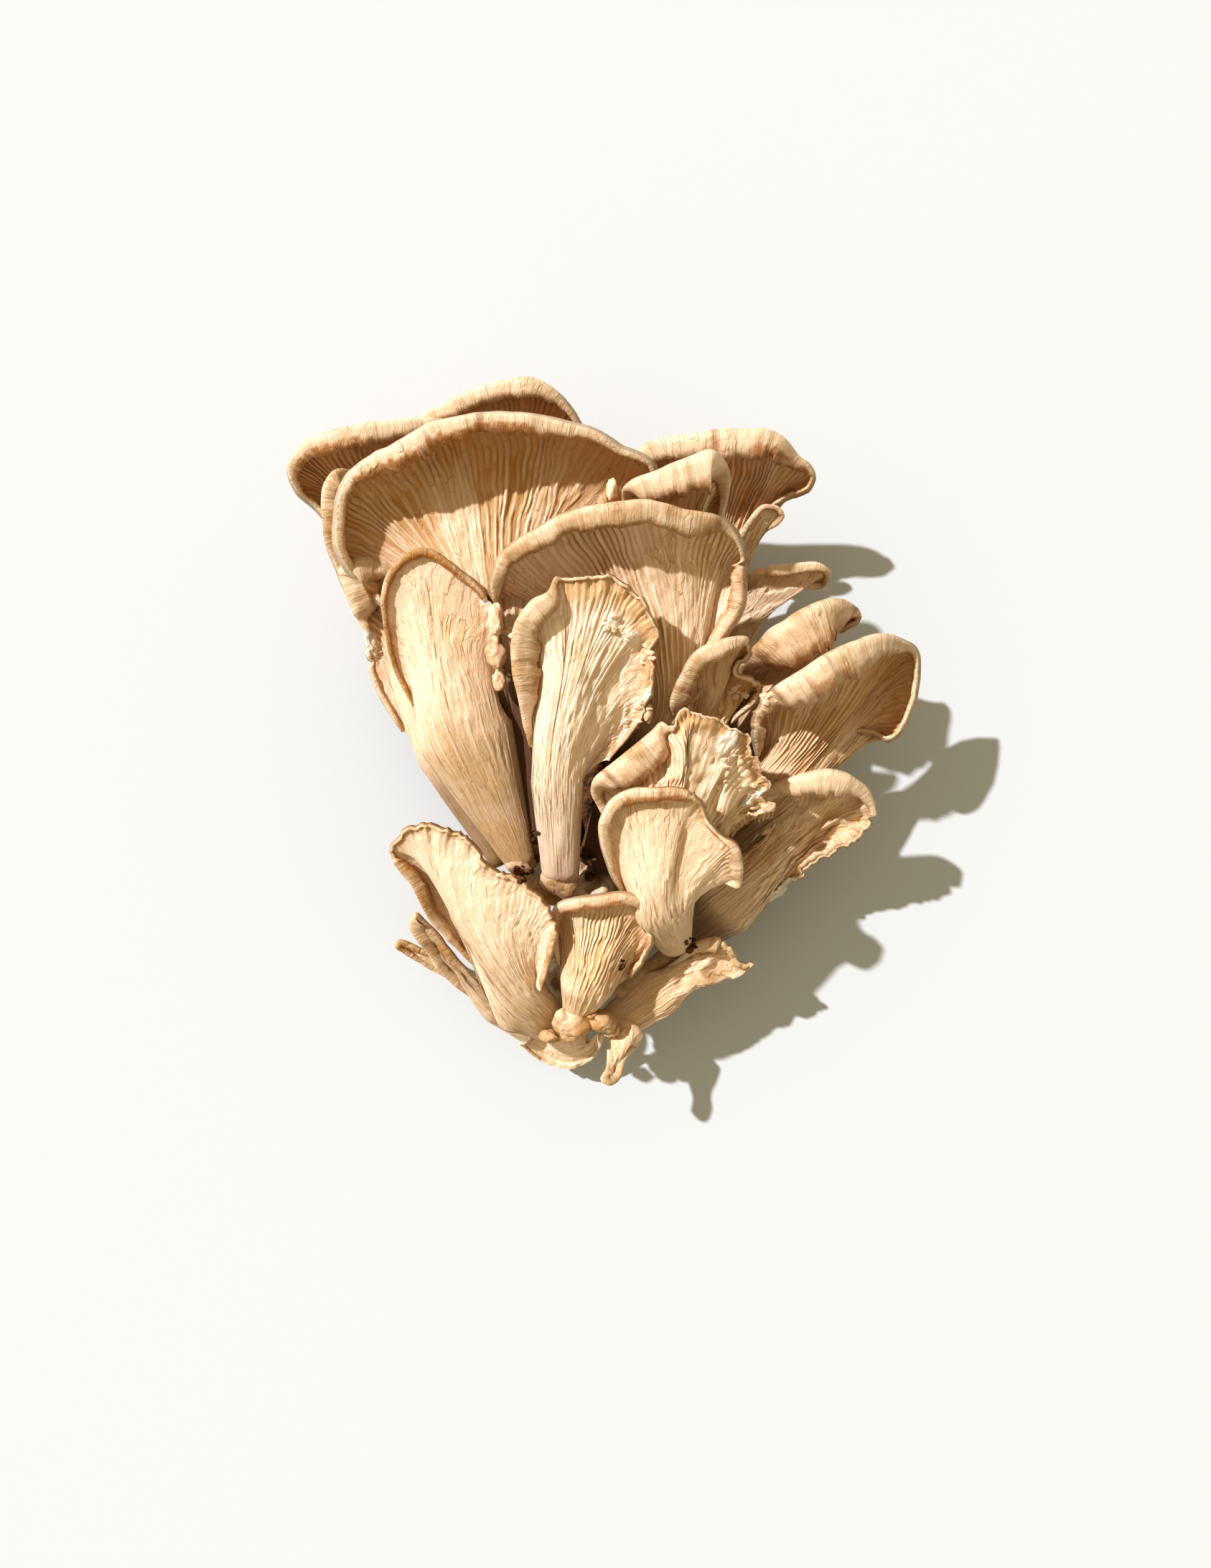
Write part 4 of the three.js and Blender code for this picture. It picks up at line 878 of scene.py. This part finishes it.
BASE_LUMPS = (
    ((-2, -40, 11), (9, 9, 12)),
    ((-10, -34.5, 13), (6, 6, 8)),
    ((8, -41, 13), (8, 8, 9)),
    ((-4, -53, 9), (8.5, 10, 11)),
    ((-7, -66, 9), (9, 9, 11.5)),
)
BURIED_LUMPS = (((-3, -14, 10), (7, 17, 10)), ((-18, -8, 9), (8, 24, 9)), ((-8, 18, 9), (12, 18, 9)))
PINS = {
    "left_pin": (((-6.8, -72.8, 29.5), (4.9, 3.7, 3.8)), ((-13, -77, 27.5), (2.6, 1.7, 2.0)),
                 ((-7.6, -76.6, 29), (2.6, 1.4, 1.8)), ((-9.3, -71.6, 30.5), (2.2, 2.2, 2.4))),
    "right_pin": (((0.5, -72.8, 29.5), (3.9, 3.0, 3.4)), ((-1.6, -70.8, 31), (1.9, 1.2, 1.7)),
                  ((3, -75.5, 28), (2.0, 1.4, 2.0))),
}
STRANDS = (
    ((-22, -33, 23, 2.6), (-18, -37, 24, 2.4), (-12.5, -42, 25, 1.8), (-5, -43.5, 26, 1.8),
     (1, -40, 27, 1.4)),
    ((-12, -36.5, 29.5, 3.4), (-8.5, -38, 29, 3.6), (-6, -41.5, 27, 2.6), (-2, -43, 26, 2.0)),
    ((6, -66, 22, 2.4), (12, -61, 23, 2.0), (17, -58, 22, 2.8), (22, -56, 20, 3.0)),
)
SCRAPS = (
    ((-24.9, 27.2, 44.8), (1.8, 4.2, 1.6), 0.2), ((-25.1, 19, 42.5), (2.5, 3.1, 1.9), 0.8),
    ((-24.5, 12.6, 40.5), (1.7, 2.6, 1.5), 0.6), ((11.6, 4.6, 46), (1.2, 2.4, 1.2), 0.7),
    ((40.8, -18, 44), (1.9, 1.3, 0.9), 0.5), ((3, 58, 46.5), (1.3, 2.8, 1.2), 0.3),
    ((0.8, 55.2, 46), (1.2, 1.7, 1.0), 0.8),
)
TORN_PATCHES = (
    (-25, 27.5, 3.0, 12), (-25, 17, 2.2, 4), (2.5, 29, 2.4, 8), (6.5, 26.5, 2.2, 7), (11.8, 21.5, 2.4, 6),
    (10.8, 7.2, 2.2, 6), (8.5, 3, 2.2, 5), (34, -7.8, 2.8, 5), (38.4, -14.5, 2.8, 7),
    (31.5, -13, 2.4, 3), (36, 12, 2.6, 10), (43.5, 9, 2.2, 6), (-58, 23, 2.2, 4), (50, -40, 2.0, 3),
)
CRUMB_PATCHES = (
    (-20.5, -35.7, 2.4, 18), (-3.3, -30.5, 1.6, 12), (-3.1, -36.6, 1.0, 6), (23.3, -53.9, 1.6, 8),
    (5.6, -59.2, 1.2, 6), (-17, -26, 1.6, 6),
)
FLUFF_PATCHES = ((-17, -37, 1.6, 5), (-2, -33, 1.4, 5))


def lump(shape, centre, radii, rng, rough, detail=4):
    made = bmesh.ops.create_icosphere(shape, subdivisions=detail, radius=1.0)
    places = np.array([vert.co for vert in made["verts"]])
    hills = np.zeros(len(places))
    for octave in range(LUMP_WAVES):
        phase = rng.uniform(0, TURN, 3)
        wave = np.sin(places * (2.2 + 1.9 * octave) + phase).prod(axis=1)
        hills += wave / (1 + 0.8 * octave)
    for vert, place, hill in zip(made["verts"], places, hills):
        vert.co = Vector([(c + r * p * (1 + rough * hill)) * MM for c, r, p in zip(centre, radii, place)])
        vert.co.z = max(vert.co.z, FLOOR_GAP * MM)


def make_lumps(name, list_of_lumps, rough, material, slot, rng, detail=4, **layers):
    shape = bmesh.new()
    for centre, radii in list_of_lumps:
        lump(shape, centre, radii, rng, rough, detail)
    for facet in shape.faces:
        facet.smooth = detail > 1
    mesh = bpy.data.meshes.new(name)
    shape.to_mesh(mesh)
    shape.free()
    for layer, value in layers.items():
        mesh.attributes.new(layer, "FLOAT", "POINT").data.foreach_set("value", [value] * len(mesh.vertices))
    return finish_piece(name, mesh, material)


def scatter(rng, patches, sizes):
    """Lumps that sit on whatever the camera sees inside each patch, given as x, y, reach and count."""
    graph = bpy.context.evaluated_depsgraph_get()
    camera = Vector(CAMERA_PLACE) * MM
    found = []
    for x, y, reach, count in patches:
        for _ in range(count):
            angle = rng.uniform(0, TURN)
            out = reach * rng.uniform(0, 1) ** 0.5
            target = Vector((x + out * math.cos(angle), y + out * math.sin(angle), PATCH_HEIGHT)) * MM
            hit, place, *_ = bpy.context.scene.ray_cast(graph, camera, target - camera)
            size = rng.uniform(*sizes)
            if hit and place.z > LOWEST_CRUMB * MM:
                radii = (size, size * rng.uniform(0.5, 1), size * rng.uniform(0.35, 0.8))
                found.append((tuple(place / MM), radii))
    return found


def strand(path):
    """A knobbly strand as a row of lumps, through points given as x, y, z and thickness."""
    table = np.array(path, float)
    steps = np.linspace(0, len(path) - 1, STRAND_STEPS * len(path))
    line = np.stack([np.interp(steps, np.arange(len(path)), table[:, k]) for k in range(4)], axis=1)
    return [((x, y, z), (thick, thick, thick)) for x, y, z, thick in line]


def make_base(material, flesh, crumb):
    rng = np.random.default_rng(BASE_SEED)
    base = make_lumps("stem_butts", BASE_LUMPS, 0.1, material, "stem_base", rng)
    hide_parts("base")
    for name, lumps in PINS.items():
        pin = make_lumps("unopened_" + name, lumps, 0.2, flesh, "mushroom_flesh", rng,
                         skin=1.0, tan=1.25, stain=0.12)
        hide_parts(name)
    for order, (centre, radii, tan) in enumerate(SCRAPS):
        make_lumps("torn_scrap_%02d" % (order + 1), [(centre, radii)], 0.2, flesh, "mushroom_flesh", rng,
                   skin=float(tan > 0.4), tan=tan, stain=0.3)
    make_lumps("buried_stems", BURIED_LUMPS, 0.12, crumb, "stem_base", rng)
    for order, path in enumerate(STRANDS):
        make_lumps("stem_strand_%d" % (order + 1), strand(path), 0.1, flesh, "mushroom_flesh", rng, 2,
                   skin=1.0, tan=0.85, stain=0.2)
    bpy.context.view_layer.update()
    crumbs = scatter(rng, CRUMB_PATCHES, (0.45, 1.4))
    fluff = scatter(rng, FLUFF_PATCHES, (0.5, 1.5))
    torn = scatter(rng, TORN_PATCHES, (0.45, 1.35))
    make_lumps("torn_flesh_chips", torn, 0.34, flesh, "mushroom_flesh", rng, 1, stain=0.15)
    make_lumps("compost_crumbs", crumbs, 0.2, crumb, "stem_base", rng, 2)
    make_lumps("mycelium_tufts", fluff, 0.2, material, "stem_base", rng, 2)


def make_stage():
    shape = bmesh.new()
    bmesh.ops.create_grid(shape, x_segments=1, y_segments=1, size=1.5)
    mesh = bpy.data.meshes.new("table_top")
    shape.to_mesh(mesh)
    shape.free()
    mesh.materials.append(floor_finish())
    table_top = put("table_top", mesh)

    sun = bpy.data.lights.new("window_sun", "SUN")
    sun.energy = SUN_STRENGTH
    sun.angle = math.radians(SUN_SPREAD)
    sun.color = SUN_COLOUR
    put("window_sun", sun).rotation_euler = Vector(SUN_FROM).to_track_quat("Z", "Y").to_euler()

    world = bpy.data.worlds.new("room_light")
    world.use_nodes = True
    background = world.node_tree.nodes["Background"]
    background.inputs["Color"].default_value = (*ROOM_COLOUR, 1.0)
    background.inputs["Strength"].default_value = ROOM_STRENGTH
    bpy.context.scene.world = world

    camera = bpy.data.cameras.new("camera_overhead")
    camera.sensor_fit = "VERTICAL"
    camera.sensor_height = SENSOR
    camera.lens = LENS
    camera.clip_start = 0.01
    camera_object = put("camera_overhead", camera)
    camera_object.location = [part * MM for part in CAMERA_PLACE]
    bpy.context.scene.camera = camera_object
    bpy.context.scene.view_settings.view_transform = "Standard"
    bpy.context.scene.view_settings.look = "High Contrast"


flesh = mushroom_finish()
make_fruit_bodies(flesh)
make_base(base_finish(), flesh, crumb_finish())
make_stage()
